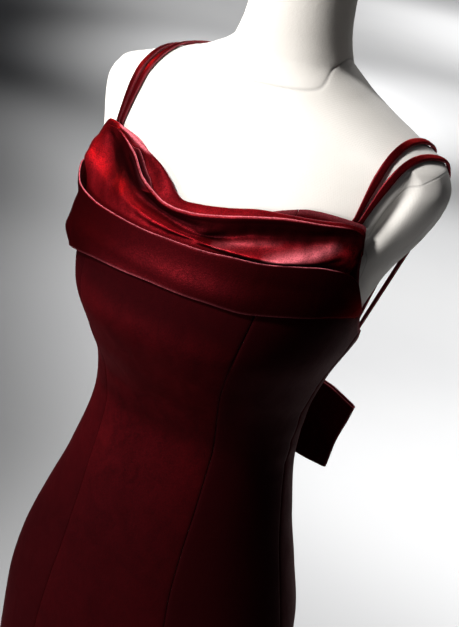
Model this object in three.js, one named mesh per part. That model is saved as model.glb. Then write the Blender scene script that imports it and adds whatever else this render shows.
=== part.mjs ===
// A velvet mermaid prom dress on a white dress form with a round stand.
// Millimetres, +Z up. The form faces -Y, so the wearer's left is +X. The origin is on the
// floor, at the centre of the stand's base.
import * as THREE from 'three';

// ---------------------------------------------------------------- driving dimensions
const DEGREE = Math.PI / 180;

const WALL = 2.0;            // velvet with its backing, outer face to inner face
const EASE = 1.5;            // between the form and the inner face of the dress
const SEAM_GAP = 0.3;        // between two panels along a seam
const LAY_GAP = 1.0;         // between a panel and the drape or band that lies on it

const WAIST_Z = 1060;
const HEM_Z = 14;            // the hem stops just above the floor
const FORM_BOTTOM_Z = 800;
const FORM_TOP_Z = 1515;

const FLUTES = 12;           // soft flutes of the flared skirt
const BASE_RADIUS = 165;
const BASE_THICKNESS = 12;
const POLE_RADIUS = 14;

// Level sections of the form: half width, depth to the front and to the back of the centre
// line, how square the front and back halves are (2 is an ellipse), and how much further the
// dress stands off there than elsewhere.
const FORM = table(['z', 'half', 'front', 'back', 'frontPower', 'backPower', 'fullness'], [
  [FORM_BOTTOM_Z, 160, 98, 118, 2.2, 2.2, 0],
  [860, 153, 97, 124, 2.2, 2.2, 0],
  [920, 136, 95, 110, 2.2, 2.2, 0],
  [980, 118, 89, 93, 2.2, 2.2, 0],
  [WAIST_Z, 104, 82, 76, 2.2, 2.2, 0],
  [1100, 105, 95, 73, 2.2, 2.2, 1],
  [1145, 114, 124, 75, 2.3, 2.2, 2],
  [1190, 130, 143, 84, 2.4, 2.2, 3],
  [1225, 140, 136, 91, 2.4, 2.2, 2.5],
  [1265, 152, 113, 98, 2.2, 2.3, 1],
  [1310, 168, 88, 103, 2.0, 2.3, 0],
  [1350, 178, 72, 102, 1.9, 2.3, 0],
  [1372, 168, 64, 99, 1.9, 2.2, 0],
  [1386, 140, 59, 93, 1.9, 2.1, 0],
  [1399, 109, 54, 90, 1.9, 2.0, 0],
  [1413, 78, 48, 86, 1.9, 2.0, 0],
  [1432, 54, 43, 72, 2.0, 2.0, 0],
  [1465, 47, 45, 54, 2.0, 2.0, 0],
  [FORM_TOP_Z, 44, 49, 42, 2.0, 2.0, 0],
]);

// Level sections of the skirt's outer face below the hip, and the depth of its flutes as a
// share of the radius. From the hip up the dress follows the form.
const SKIRT = table(['z', 'half', 'front', 'back', 'frontPower', 'backPower', 'flute'], [
  [HEM_Z, 335, 285, 345, 2.0, 2.0, 0.085],
  [90, 296, 252, 305, 2.0, 2.0, 0.078],
  [190, 243, 207, 250, 2.0, 2.0, 0.064],
  [300, 190, 164, 195, 2.0, 2.0, 0.044],
  [390, 158, 138, 158, 2.0, 2.0, 0.026],
  [470, 141, 123, 136, 2.1, 2.1, 0.010],
  [550, 138, 116, 126, 2.1, 2.1, 0.003],
  [650, 149, 110, 118, 2.2, 2.2, 0],
  [740, 160, 104, 119, 2.2, 2.2, 0],
]);

// Turn is the angle round a section: 0 at the centre front, 90 at the wearer's left side,
// 180 at the centre back, and the same with a minus sign on the wearer's right.
// The seams between the panels, as the turn at each height.
const FRONT_SEAM = table(['z', 'turn'], [
  [HEM_Z, 33], [400, 30], [800, 25], [880, 24.6], [WAIST_Z, 33.3], [1180, 34.8], [1330, 28],
]);
const BACK_SEAM = table(['z', 'turn'], [
  [HEM_Z, 147], [400, 150], [800, 153], [900, 152], [WAIST_Z, 148], [1180, 128],
]);
const SIDE_SEAM_TURN = 90;

// The cut edge of the bodice, the same on both sides: a shallow neckline, a point at the
// strap, the armhole, and a low back.
const TOP_EDGE = table(['turn', 'z'], [
  [0, 1286], [8, 1291], [19, 1310], [26, 1319], [32, 1324], [38, 1325], [50.8, 1323],
  [55, 1306], [59, 1289], [65, 1272], [73, 1255], [82, 1233], [90, 1211], [98, 1194],
  [112, 1180], [127, 1169], [150, 1136], [165, 1116], [180, 1108],
]);

// The cowl: a draped piece across the front neckline. Each row is a station round the front.
// From the top: the edge at the neckline, the roll in front of it, the trough below the roll,
// the lower swell, and the foot behind the band. Out is the distance from the bodice.
const COWL = table(['turn', 'edgeZ', 'rollZ', 'rollOut', 'troughZ', 'troughOut', 'swellZ',
  'swellOut', 'footZ'], [
  [-60, 1287, 1284, 5.5, 1280, 6.5, 1276, 6.5, 1256],
  [-54, 1311, 1306, 5.5, 1297, 7.5, 1284, 8.5, 1254],
  [-46, 1327, 1321, 5.5, 1308, 7.5, 1288, 10.5, 1252],
  [-38, 1329, 1324, 8.5, 1306, 6.5, 1286, 11.5, 1251],
  [-27, 1322, 1317, 11.5, 1298, 6.5, 1281, 11.5, 1251],
  [-18, 1314, 1303, 13.5, 1286, 6.5, 1277, 11.5, 1252],
  [-9, 1300, 1295, 13.5, 1282, 6.5, 1276, 12, 1253],
  [0, 1296, 1294, 13.5, 1284, 6.5, 1278, 11.5, 1254],
  [9, 1302, 1300, 13.5, 1289, 6.5, 1281, 12.5, 1257],
  [18, 1310, 1308, 13.5, 1298, 6.5, 1289, 13.5, 1259],
  [27, 1314, 1314, 12.5, 1305, 6.5, 1294, 13.5, 1261],
  [36, 1318, 1318, 11.5, 1309, 6.5, 1297, 13.5, 1267],
  [44, 1322, 1321, 9.5, 1314, 6.5, 1301, 11.5, 1270],
  [50, 1321, 1318, 5.5, 1312, 6.5, 1301, 7.5, 1272],
  [56, 1300, 1298, 4.5, 1295, 5.5, 1290, 5.5, 1273],
]);

// The band: a wide folded cuff under the cowl, caught in the armholes and side seams.
const BAND = table(['turn', 'topZ', 'topOut', 'bottomZ', 'bottomOut'], [
  [-86, 1220, 3.2, 1203, 3.2],
  [-78, 1243, 5, 1205, 4.5],
  [-70, 1262, 9, 1206, 7],
  [-64, 1277, 13, 1208, 9.5],
  [-58, 1270, 14, 1210, 10],
  [-49, 1266, 13, 1214, 9],
  [-36, 1265, 12, 1221, 6.5],
  [-22, 1266, 12, 1227, 5],
  [-9, 1267, 12, 1230, 4.5],
  [0, 1269, 12, 1232, 4.5],
  [9, 1271, 12, 1233, 4.5],
  [17, 1274, 12, 1234, 4.5],
  [25, 1276, 12, 1234, 4.5],
  [37, 1282, 12, 1237, 4.5],
  [45, 1285, 11.5, 1239, 4.5],
  [52, 1284, 10, 1240, 4.5],
  [60, 1277, 8, 1241, 4],
  [68, 1262, 6, 1240, 3.5],
  [77, 1245, 3.2, 1238, 3.2],
]);

// Two straps for each shoulder, from the point of the bodice over the shoulder to the side of
// the back. Crest is where each one crosses the top of the shoulder.
const STRAPS = [
  { name: 'strap_left_inner', side: 1, crestX: 136, startTurn: 46.4, endTurn: 119 },
  { name: 'strap_left_outer', side: 1, crestX: 148, startTurn: 50, endTurn: 113 },
  { name: 'strap_right_inner', side: -1, crestX: 99, startTurn: 42, endTurn: 119 },
  { name: 'strap_right_outer', side: -1, crestX: 113, startTurn: 45.6, endTurn: 114 },
];
const STRAP_WIDTH = 7;
const STRAP_THICKNESS = 3;
const STRAP_REST_GAP = 1.5;  // between the form and the points where a strap rests on it
const STRAP_SET_IN = 1.3;    // from the outer face of the bodice in to the middle of a strap's end
const FRONT_SEAT = 1.0;      // from the cut edge of the bodice to the front end of a strap
const BACK_SEAT = 1.65;      // the same at the back, where the cut edge slopes

// The bow on the low back: two flat loops and a knot.
const BOW_Z = 1058;
const BOW_HALF_LENGTH = 117;
const BOW_LAYER_GAP = 5;
const KNOT_HALF_WIDTH = 15;
const KNOT_HEIGHT = 58;
const KNOT_DEPTH = 26;
const KNOT_SEAT = 1.0;         // from the centre-back seam to the back of the knot
// Top and bottom edge of a loop at each distance from the centre, and how far the middle of
// the loop stands behind the centre of the form.
const LOOP = table(['x', 'top', 'bottom', 'y'], [
  [KNOT_HALF_WIDTH + SEAM_GAP, 24, -24, 91], [25, 28, -27, 92], [40, 38, -36, 94],
  [62, 45, -43, 96], [85, 46, -44, 97], [BOW_HALF_LENGTH, 37, -44, 99],
]);

// ---------------------------------------------------------------- finishes
const finish = (color, roughness, metalness = 0) =>
  new THREE.MeshStandardMaterial({ color, roughness, metalness });
const velvet = finish(0x5e0c1a, 0.8);
const formCover = finish(0xf1ede6, 0.9);
const standPaint = finish(0xe4e2de, 0.4);
const poleSteel = finish(0xb9bbbd, 0.3, 0.9);

// ---------------------------------------------------------------- helpers
function table(columns, rows) {
  return rows.map((row) => Object.fromEntries(columns.map((name, i) => [name, row[i]])));
}

// Smooth reading of one column against another, with no overshoot between the rows.
function reader(rows, key, value) {
  const x = rows.map((row) => row[key]);
  const y = rows.map((row) => row[value]);
  const last = x.length - 1;
  const step = (i) => x[i + 1] - x[i];
  const rise = (i) => (y[i + 1] - y[i]) / step(i);
  const slope = x.map((_, i) => {
    if (i === 0) return rise(0);
    if (i === last) return rise(last - 1);
    if (rise(i - 1) * rise(i) <= 0) return 0;
    const before = 2 * step(i) + step(i - 1);
    const after = step(i) + 2 * step(i - 1);
    return (before + after) / (before / rise(i - 1) + after / rise(i));
  });
  return (at) => {
    const q = Math.min(Math.max(at, x[0]), x[last]);
    let i = 0;
    while (i < last - 1 && q > x[i + 1]) i += 1;
    const t = (q - x[i]) / step(i);
    const hermite = [2 * t ** 3 - 3 * t ** 2 + 1, t ** 3 - 2 * t ** 2 + t];
    return hermite[0] * y[i] + hermite[1] * step(i) * slope[i]
      + (1 - hermite[0]) * y[i + 1] + (t ** 3 - t ** 2) * step(i) * slope[i + 1];
  };
}

const mix = (a, b, t) => a + (b - a) * t;
const eitherSide = (turn) => Math.abs(((turn + 540) % 360) - 180);
const signedPower = (value, power) => Math.sign(value) * Math.abs(value) ** power;

// A surface made of level sections. It gives the point at a height and a turn, moved out.
function sections(rows) {
  const read = {};
  for (const name of ['half', 'front', 'back', 'frontPower', 'backPower', 'flute']) {
    read[name] = reader(rows.map((row) => ({ flute: 0, ...row })), 'z', name);
  }
  const at = (z, turn, out = 0) => {
    const s = Math.sin(turn * DEGREE);
    const c = Math.cos(turn * DEGREE);
    const facesFront = c > 0;
    const power = 2 / (facesFront ? read.frontPower(z) : read.backPower(z));
    const flute = 1 + read.flute(z) * Math.cos(FLUTES * turn * DEGREE);
    const depth = facesFront ? -read.front(z) : read.back(z);
    return new THREE.Vector3(
      (read.half(z) * flute + out) * signedPower(s, power),
      (depth * flute + Math.sign(depth) * out) * Math.abs(c) ** power,
      z,
    );
  };
  // Under 0 inside the surface, above 0 outside it.
  const level = (p) => {
    const facesFront = p.y < 0;
    const power = facesFront ? read.frontPower(p.z) : read.backPower(p.z);
    const depth = facesFront ? read.front(p.z) : read.back(p.z);
    return (Math.abs(p.x) / read.half(p.z)) ** power + (Math.abs(p.y) / depth) ** power - 1;
  };
  const slope = (p) => new THREE.Vector3().fromArray([0, 1, 2].map((axis) => {
    const step = new THREE.Vector3().setComponent(axis, 0.5);
    return level(p.clone().add(step)) - level(p.clone().sub(step));
  }));
  const outward = (p) => slope(p).normalize();
  const distance = (p) => level(p) / slope(p).length();
  return { at, outward, distance };
}

const form = sections(FORM);
const OUTER = EASE + WALL;   // the outer face of the dress, from the form
const dress = sections([
  ...SKIRT,
  ...FORM.map((row) => ({
    ...row,
    half: row.half + OUTER + 0.3 * row.fullness,
    front: row.front + OUTER + row.fullness,
    back: row.back + OUTER,
  })),
]);

// A closed mesh from a grid of points on two faces: outer(i, j) and inner(i, j), with i along
// the columns and j along the rows. The outer face turns anticlockwise from +i to +j.
function wall(columns, rows, outer, inner) {
  const points = [];
  const width = columns + 1;
  const layer = width * (rows + 1);
  for (const face of [outer, inner]) {
    for (let j = 0; j <= rows; j += 1) {
      for (let i = 0; i <= columns; i += 1) points.push(...face(i, j).toArray());
    }
  }
  const index = [];
  const quad = (a, b, c, d) => index.push(a, b, c, a, c, d);
  const o = (i, j) => j * width + i;
  const n = (i, j) => layer + o(i, j);
  for (let j = 0; j < rows; j += 1) {
    for (let i = 0; i < columns; i += 1) {
      quad(o(i, j), o(i + 1, j), o(i + 1, j + 1), o(i, j + 1));
      quad(n(i, j), n(i, j + 1), n(i + 1, j + 1), n(i + 1, j));
    }
    quad(o(0, j), o(0, j + 1), n(0, j + 1), n(0, j));
    quad(o(columns, j), n(columns, j), n(columns, j + 1), o(columns, j + 1));
  }
  for (let i = 0; i < columns; i += 1) {
    quad(o(i, 0), n(i, 0), n(i + 1, 0), o(i + 1, 0));
    quad(o(i, rows), o(i + 1, rows), n(i + 1, rows), n(i, rows));
  }
  return meshGeometry(points, index);
}

// A closed tube through rings of points, each ring anticlockwise seen from ahead of the path.
function tube(rings) {
  const count = rings[0].length;
  const points = rings.flatMap((ring) => ring.flatMap((p) => p.toArray()));
  const index = [];
  for (let j = 0; j < rings.length - 1; j += 1) {
    for (let i = 0; i < count; i += 1) {
      const a = j * count + i;
      const b = j * count + ((i + 1) % count);
      index.push(a, b, b + count, a, b + count, a + count);
    }
  }
  const middle = (ring) => ring.reduce((sum, p) => sum.add(p), new THREE.Vector3())
    .divideScalar(count);
  const start = points.length / 3;
  points.push(...middle(rings[0]).toArray(), ...middle(rings.at(-1)).toArray());
  const end = (rings.length - 1) * count;
  for (let i = 0; i < count; i += 1) {
    index.push(start, (i + 1) % count, i);
    index.push(start + 1, end + i, end + ((i + 1) % count));
  }
  return meshGeometry(points, index);
}

function meshGeometry(points, index) {
  const geometry = new THREE.BufferGeometry();
  geometry.setAttribute('position', new THREE.Float32BufferAttribute(points, 3));
  geometry.setIndex(index);
  geometry.computeVertexNormals();
  return geometry;
}

const group = new THREE.Group();
function add(name, geometry, material) {
  const mesh = new THREE.Mesh(geometry, material);
  mesh.name = name;
  group.add(mesh);
  return mesh;
}

// ---------------------------------------------------------------- the dress form and stand
const FORM_COLUMNS = 40;
const FORM_STATIONS = [FORM_BOTTOM_Z, 860, 920, 980, 1020, WAIST_Z, 1080, 1100,
  1122, 1145, 1160, 1175, 1190, 1207, 1225, 1245, 1265, 1288, 1310, 1330, 1350, 1362, 1372, 1379,
  1386, 1392, 1399, 1406, 1413, 1422, 1432, 1448, 1465, 1490, FORM_TOP_Z];

function makeTorso() {
  return tube(FORM_STATIONS.map((z) => Array.from({ length: FORM_COLUMNS }, (_, i) =>
    form.at(z, 360 * i / FORM_COLUMNS))));
}

function makeStandBase() {
  const collarRadius = POLE_RADIUS + 12;
  const collarTop = BASE_THICKNESS + 16;
  const edge = 4;
  const profile = [
    [0, 0], [BASE_RADIUS - edge, 0], [BASE_RADIUS, edge], [BASE_RADIUS, BASE_THICKNESS - edge],
    [BASE_RADIUS - edge, BASE_THICKNESS - 1], [collarRadius + 6, BASE_THICKNESS + 3],
    [collarRadius, collarTop - 2], [collarRadius - 2, collarTop], [0, collarTop],
  ].map(([r, z]) => new THREE.Vector2(r, z));
  return { geometry: new THREE.LatheGeometry(profile, 48).rotateX(Math.PI / 2), top: collarTop };
}

function makePole(bottom, top) {
  return new THREE.CylinderGeometry(POLE_RADIUS, POLE_RADIUS, top - bottom, 24)
    .rotateX(Math.PI / 2).translate(0, 0, (top + bottom) / 2);
}

// ---------------------------------------------------------------- the panels of the dress
const LOW_STATIONS = [HEM_Z, 110, 215, 315, 405, 490, 610, 740, FORM_BOTTOM_Z, 860, 920, 980,
  1020, WAIST_Z];
const topEdge = reader(TOP_EDGE, 'turn', 'z');
const frontSeam = reader(FRONT_SEAM, 'z', 'turn');
const backSeam = reader(BACK_SEAM, 'z', 'turn');
const sideSeam = () => SIDE_SEAM_TURN;

// A panel between two seams, each a reader of turn against height.
function makePanel(seamA, seamB, columns, upperRows) {
  const rows = LOW_STATIONS.length - 1 + upperRows;
  const turnAt = (share, z) => mix(seamA(z), seamB(z), share);
  const edgeZ = (share) => {
    let z = WAIST_Z;
    for (let pass = 0; pass < 12; pass += 1) z = topEdge(eitherSide(turnAt(share, z)));
    return z;
  };
  const point = (i, j, out) => {
    const share = i / columns;
    const above = j - (LOW_STATIONS.length - 1);
    const z = above <= 0 ? LOW_STATIONS[j] : mix(WAIST_Z, edgeZ(share), above / upperRows);
    const turn = turnAt(share, z);
    const arc = dress.at(z, turn - 0.5).distanceTo(dress.at(z, turn + 0.5));
    const trim = (i === 0 ? 1 : 0) - (i === columns ? 1 : 0);
    return dress.at(z, turn + trim * SEAM_GAP / 2 / arc, out);
  };
  return wall(columns, rows, (i, j) => point(i, j, 0), (i, j) => point(i, j, -WALL));
}

const minus = (seam) => (z) => -seam(z);
const fullTurnMinus = (seam) => (z) => 360 - seam(z);
const centreBack = () => 180;

const PANELS = [
  ['panel_centre_front', minus(frontSeam), frontSeam, 12, 11],
  ['panel_side_front_left', frontSeam, sideSeam, 11, 11],
  ['panel_side_front_right', minus(sideSeam), minus(frontSeam), 11, 11],
  ['panel_side_back_left', sideSeam, backSeam, 10, 6],
  ['panel_side_back_right', fullTurnMinus(backSeam), fullTurnMinus(sideSeam), 10, 6],
  ['panel_centre_back_left', backSeam, centreBack, 6, 6],
  ['panel_centre_back_right', centreBack, fullTurnMinus(backSeam), 6, 6],
];

// ---------------------------------------------------------------- the cowl and the band
const COWL_COLUMNS = 26;
const COWL_ROWS_PER_FOLD = 2;

function makeCowl() {
  const first = COWL[0].turn;
  const last = COWL.at(-1).turn;
  const read = {};
  for (const name of Object.keys(COWL[0]).slice(1)) read[name] = reader(COWL, 'turn', name);
  const profileAt = (turn) => {
    const knots = [
      { s: 0, z: read.footZ(turn), out: LAY_GAP + WALL },
      { s: 1, z: read.swellZ(turn), out: read.swellOut(turn) },
      { s: 2, z: read.troughZ(turn), out: read.troughOut(turn) },
      { s: 3, z: read.rollZ(turn), out: read.rollOut(turn) },
      { s: 4, z: read.edgeZ(turn), out: LAY_GAP + WALL },
    ];
    return { z: reader(knots, 's', 'z'), out: reader(knots, 's', 'out') };
  };
  const rows = 4 * COWL_ROWS_PER_FOLD;
  const point = (i, j, inward) => {
    const turn = mix(first, last, i / COWL_COLUMNS);
    const profile = profileAt(turn);
    const s = j / COWL_ROWS_PER_FOLD;
    return dress.at(profile.z(s), turn, profile.out(s) - inward);
  };
  return wall(COWL_COLUMNS, rows, (i, j) => point(i, j, 0), (i, j) => point(i, j, WALL));
}

const BAND_COLUMNS = 28;
const BAND_ROWS = 4;

function makeBand() {
  const read = {};
  for (const name of Object.keys(BAND[0]).slice(1)) read[name] = reader(BAND, 'turn', name);
  const point = (i, j, inward) => {
    const turn = mix(BAND[0].turn, BAND.at(-1).turn, i / BAND_COLUMNS);
    const share = j / BAND_ROWS;
    return dress.at(
      mix(read.bottomZ(turn), read.topZ(turn), share),
      turn,
      mix(read.bottomOut(turn), read.topOut(turn), share) - inward,
    );
  };
  return wall(BAND_COLUMNS, BAND_ROWS, (i, j) => point(i, j, 0), (i, j) => point(i, j, WALL));
}

// ---------------------------------------------------------------- the straps
const STRAP_SIDES = 6;
const CREST_Z = 1395;
const CHAIN_STEP = 2;        // every second point of contact is kept

// The line of a taut strap: it leaves its start, lies on the shoulder where the shoulder
// stands proud of the straight way, and goes straight on to its end.
function tautLine(start, crest, end) {
  const along = end.clone().sub(start).normalize();
  const middle = start.clone().add(end).multiplyScalar(0.5);
  const toCrest = crest.clone().sub(middle);
  const up = toCrest.clone().addScaledVector(along, -toCrest.dot(along)).normalize();
  const out = STRAP_REST_GAP + STRAP_THICKNESS / 2;
  const reach = 330;
  const touch = [];
  for (let angle = 177; angle > 0; angle -= 3) {
    const direction = along.clone().multiplyScalar(Math.cos(angle * DEGREE))
      .addScaledVector(up, Math.sin(angle * DEGREE));
    let r = reach;
    while (r > 0 && form.distance(middle.clone().addScaledVector(direction, r)) > out) r -= 0.25;
    if (r > 0) {
      touch.push(new THREE.Vector2(Math.cos(angle * DEGREE), Math.sin(angle * DEGREE)).multiplyScalar(r));
    }
  }
  const half = start.distanceTo(end) / 2;
  const chain = [new THREE.Vector2(-half, 0)];
  const turnsLeft = (a, b, c) => (b.x - a.x) * (c.y - a.y) - (b.y - a.y) * (c.x - a.x) > 0;
  for (const p of [...touch, new THREE.Vector2(half, 0)]) {
    while (chain.length > 1 && turnsLeft(chain.at(-2), chain.at(-1), p)) chain.pop();
    chain.push(p);
  }
  const kept = chain.filter((p, i) => i < 2 || i > chain.length - 3 || i % CHAIN_STEP === 0);
  return kept.map((p) => middle.clone().addScaledVector(along, p.x).addScaledVector(up, p.y));
}

function makeStrap({ side, crestX, startTurn, endTurn }) {
  const onEdge = (turn, seat) => dress.at(topEdge(turn) + seat, side * turn, -STRAP_SET_IN);
  const start = onEdge(startTurn, FRONT_SEAT);
  const end = onEdge(endTurn, BACK_SEAT);
  const crest = new THREE.Vector3(side * crestX, 0, CREST_Z);
  const line = tautLine(start, crest, end);
  const rings = line.map((p, k) => {
    const ahead = line[Math.min(k + 1, line.length - 1)].clone()
      .sub(line[Math.max(k - 1, 0)]).normalize();
    const across = new THREE.Vector3().crossVectors(form.outward(p), ahead).normalize();
    const outward = new THREE.Vector3().crossVectors(ahead, across);
    return Array.from({ length: STRAP_SIDES }, (_, i) => {
      const angle = 2 * Math.PI * (i + 0.5) / STRAP_SIDES;
      return p.clone().addScaledVector(across, STRAP_WIDTH / 2 * Math.sin(angle))
        .addScaledVector(outward, STRAP_THICKNESS / 2 * Math.cos(angle) / Math.cos(Math.PI / 6));
    }).reverse();
  });
  return tube(rings);
}

// ---------------------------------------------------------------- the bow
const LOOP_STEPS = 8;
const LOOP_ROWS = 2;
const LOOP_WALL = 1.6;

// One loop: a strip that goes out as the layer next to the dress, folds over at the end and
// comes back as the outer layer.
function makeLoop(side) {
  const read = {};
  for (const name of ['top', 'bottom', 'y']) read[name] = reader(LOOP, 'x', name);
  const inner = LOOP[0].x;
  const bend = BOW_LAYER_GAP / 2 + LOOP_WALL;
  const straight = BOW_HALF_LENGTH - bend;
  const BEND_STEPS = 4;
  const centreLine = [];
  const swell = (x) => mix(0.35, 1, Math.min(1, (x - inner) / 40));
  for (let k = 0; k <= LOOP_STEPS; k += 1) {
    centreLine.push({ x: mix(inner, straight, k / LOOP_STEPS), layer: -1 });
  }
  for (let k = 1; k < BEND_STEPS; k += 1) {
    const angle = Math.PI * k / BEND_STEPS;
    centreLine.push({ x: straight + bend * Math.sin(angle), layer: -Math.cos(angle) });
  }
  for (let k = LOOP_STEPS; k >= 0; k -= 1) {
    centreLine.push({ x: mix(inner, straight, k / LOOP_STEPS), layer: 1 });
  }
  const mid = centreLine.map(({ x, layer }) => new THREE.Vector2(
    x, read.y(x) + layer * (BOW_LAYER_GAP + LOOP_WALL) / 2 * swell(x),
  ));
  const normal = mid.map((_, k) => {
    const a = mid[Math.max(k - 1, 0)];
    const b = mid[Math.min(k + 1, mid.length - 1)];
    return new THREE.Vector2(b.y - a.y, a.x - b.x).normalize();
  });
  const point = (i, j, out) => {
    const p = mid[i].clone().addScaledVector(normal[i], out);
    const share = j / LOOP_ROWS;
    const z = BOW_Z + mix(read.bottom(mid[i].x), read.top(mid[i].x), share);
    return new THREE.Vector3(side * p.x, p.y, z);
  };
  const columns = mid.length - 1;
  const half = LOOP_WALL / 2 * side;
  return wall(columns, LOOP_ROWS, (i, j) => point(i, j, half), (i, j) => point(i, j, -half));
}

// The knot: a short wrap round the middle of the loops, seated on the centre back.
function makeKnot() {
  const rows = 6;
  const count = 16;
  return tube(Array.from({ length: rows + 1 }, (_, j) => {
    const share = 2 * j / rows - 1;
    const z = BOW_Z + share * KNOT_HEIGHT / 2;
    const seat = dress.at(z, 180).y + KNOT_SEAT;
    const swell = 1 - 0.12 * share ** 2;
    return Array.from({ length: count }, (_, i) => {
      const angle = 2 * Math.PI * i / count;
      return new THREE.Vector3(
        KNOT_HALF_WIDTH * swell * signedPower(Math.cos(angle), 0.6),
        seat + KNOT_DEPTH / 2 * swell * (1 + signedPower(Math.sin(angle), 0.6)),
        z,
      );
    });
  }));
}

// ---------------------------------------------------------------- the whole
add('form_torso', makeTorso(), formCover);
const base = makeStandBase();
add('stand_base', base.geometry, standPaint);
add('stand_pole', makePole(base.top + SEAM_GAP, FORM_BOTTOM_Z - SEAM_GAP), poleSteel);
for (const [name, seamA, seamB, columns, upperRows] of PANELS) {
  add(name, makePanel(seamA, seamB, columns, upperRows), velvet);
}
add('cowl', makeCowl(), velvet);
add('band', makeBand(), velvet);
for (const strap of STRAPS) add(strap.name, makeStrap(strap), velvet);
add('bow_loop_left', makeLoop(1), velvet);
add('bow_loop_right', makeLoop(-1), velvet);
add('bow_knot', makeKnot(), velvet);

export default group;
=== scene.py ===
# %% [markdown]
# # A velvet mermaid prom dress on a dress form
#
# This file builds the looks of the dress in Blender, one piece at a time, around a model that
# was already made at its real size. That model, the frame, says where every piece goes. It
# never moves: each piece below is made in its place, in metres, with +Z up. The form faces -Y,
# so the wearer's left side is at +X.
#
# The dress is cut from a handful of pieces: seven long panels, a draped cowl, a folded band,
# four narrow straps, and a bow with two loops and a knot. Each gets its own cells.

# %% Load the frame
import math

import bmesh
import bpy
import numpy as np
from mathutils import Matrix, Vector


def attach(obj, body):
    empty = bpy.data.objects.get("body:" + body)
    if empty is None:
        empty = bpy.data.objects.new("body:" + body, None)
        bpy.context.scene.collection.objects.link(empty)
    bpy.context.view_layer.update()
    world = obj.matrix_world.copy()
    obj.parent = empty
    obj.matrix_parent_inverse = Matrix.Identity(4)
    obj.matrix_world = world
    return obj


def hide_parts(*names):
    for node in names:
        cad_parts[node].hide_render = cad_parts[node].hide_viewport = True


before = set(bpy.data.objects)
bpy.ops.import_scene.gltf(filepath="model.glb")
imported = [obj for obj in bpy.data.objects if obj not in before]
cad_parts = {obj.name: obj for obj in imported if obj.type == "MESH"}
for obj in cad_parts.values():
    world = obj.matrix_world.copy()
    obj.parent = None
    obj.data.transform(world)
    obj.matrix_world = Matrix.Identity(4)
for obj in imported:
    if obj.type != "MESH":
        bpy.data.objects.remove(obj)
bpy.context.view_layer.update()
MM = 0.001

# %% [markdown]
# ## The camera
#
# The camera comes first, so that every later step can be looked at through it. It stands in
# front of the wearer's left side, above the bust, looks down, and leans to one side. A camera
# is placed here by three directions at right angles: where its back faces, its right-hand side
# and its top. Leaning turns the last two about the first. That is easier to reason about than
# three rotation angles, because each direction can be checked by itself.

# %% Place the camera
CAMERA_AZIMUTH = 25.5
CAMERA_HEIGHT_ANGLE = 23.0
CAMERA_LEAN = math.radians(14.7)
CAMERA_DISTANCE = 1.270
CAMERA_SIDESTEP = 0.007
AIM_HEIGHT = 1.1682
LENS = 75.3
SENSOR_WIDTH = 36
FARTHEST_SEEN = 100


def direction(azimuth, height_angle):
    """A direction: so far round from the front to the wearer's left, and so far up, in degrees."""
    a, h = math.radians(azimuth), math.radians(height_angle)
    return Vector((math.sin(a) * math.cos(h), -math.cos(a) * math.cos(h), math.sin(h)))


back = direction(CAMERA_AZIMUTH, CAMERA_HEIGHT_ANGLE)
right = direction(CAMERA_AZIMUTH + 90, 0)
up = back.cross(right)
leaning_right = right * math.cos(CAMERA_LEAN) + up * math.sin(CAMERA_LEAN)
leaning_up = up * math.cos(CAMERA_LEAN) - right * math.sin(CAMERA_LEAN)
place = Vector((0, 0, AIM_HEIGHT)) + right * CAMERA_SIDESTEP + back * CAMERA_DISTANCE

camera = bpy.data.objects.new("camera", bpy.data.cameras.new("camera"))
bpy.context.scene.collection.objects.link(camera)
camera.matrix_world = Matrix.Translation(place) @ Matrix(
    (leaning_right, leaning_up, back)).transposed().to_4x4()
camera.data.lens = LENS
camera.data.sensor_width = SENSOR_WIDTH
camera.data.clip_end = FARTHEST_SEEN
bpy.context.scene.camera = camera
print("camera at", [round(v, 3) for v in place])

# %% [markdown]
# ## Tables and smooth readers
#
# A dressmaker describes a body by girths at a few heights. The tables below do the same: a row
# for each height, or for each station round the body. Between the rows a reader draws a
# smooth curve that never swings past the values on either side, so a short table gives a clean
# surface. The readers take whole arrays of numbers at once, because a fine cloth mesh has tens
# of thousands of points.


# %% Smooth readers
def reader(x, y):
    """A smooth curve through the points, with no overshoot between them."""
    x, y = np.asarray(x, float), np.asarray(y, float)
    step = np.diff(x)
    rise = np.diff(y) / step
    slope = np.zeros(len(x))
    slope[0], slope[-1] = rise[0], rise[-1]
    for i in range(1, len(x) - 1):
        if rise[i - 1] * rise[i] > 0:
            before = 2 * step[i] + step[i - 1]
            after = step[i] + 2 * step[i - 1]
            slope[i] = (before + after) / (before / rise[i - 1] + after / rise[i])

    def read(at):
        q = np.clip(at, x[0], x[-1])
        i = np.clip(np.searchsorted(x, q, side="left") - 1, 0, len(x) - 2)
        t = (q - x[i]) / step[i]
        start = 2 * t**3 - 3 * t**2 + 1
        return (start * y[i] + (t**3 - 2 * t**2 + t) * step[i] * slope[i]
                + (1 - start) * y[i + 1] + (t**3 - t**2) * step[i] * slope[i + 1])

    return read


def columns(names, rows):
    """Readers for each named column of a table against its first column."""
    first, *others = names.split()
    data = np.array(rows, float)
    return {name: reader(data[:, 0], data[:, k + 1]) for k, name in enumerate(others)}


def spaced(*parts, end):
    """Numbers in even steps: each part is where it starts and how many it has before the next."""
    starts = [start for start, _ in parts] + [end]
    runs = [np.linspace(a, b, count, endpoint=False) for (a, count), b in zip(parts, starts[1:])]
    return np.concatenate(runs + [[end]])


def mix(a, b, share):
    """From a, where the share is 0, to b, where it is 1."""
    return a + (b - a) * share


def bell(distance, width):
    """1 at the middle, falling softly to nothing at about twice the width."""
    return np.exp(-((distance / width) ** 2))


def smooth_step(value, low, high):
    """0 below low and 1 above high, with a soft rise between them."""
    t = np.clip((value - low) / (high - low), 0, 1)
    return t * t * (3 - 2 * t)


def wrapped(turn):
    """The same angle, from -180 to 180 degrees."""
    return (turn + 540) % 360 - 180


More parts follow.
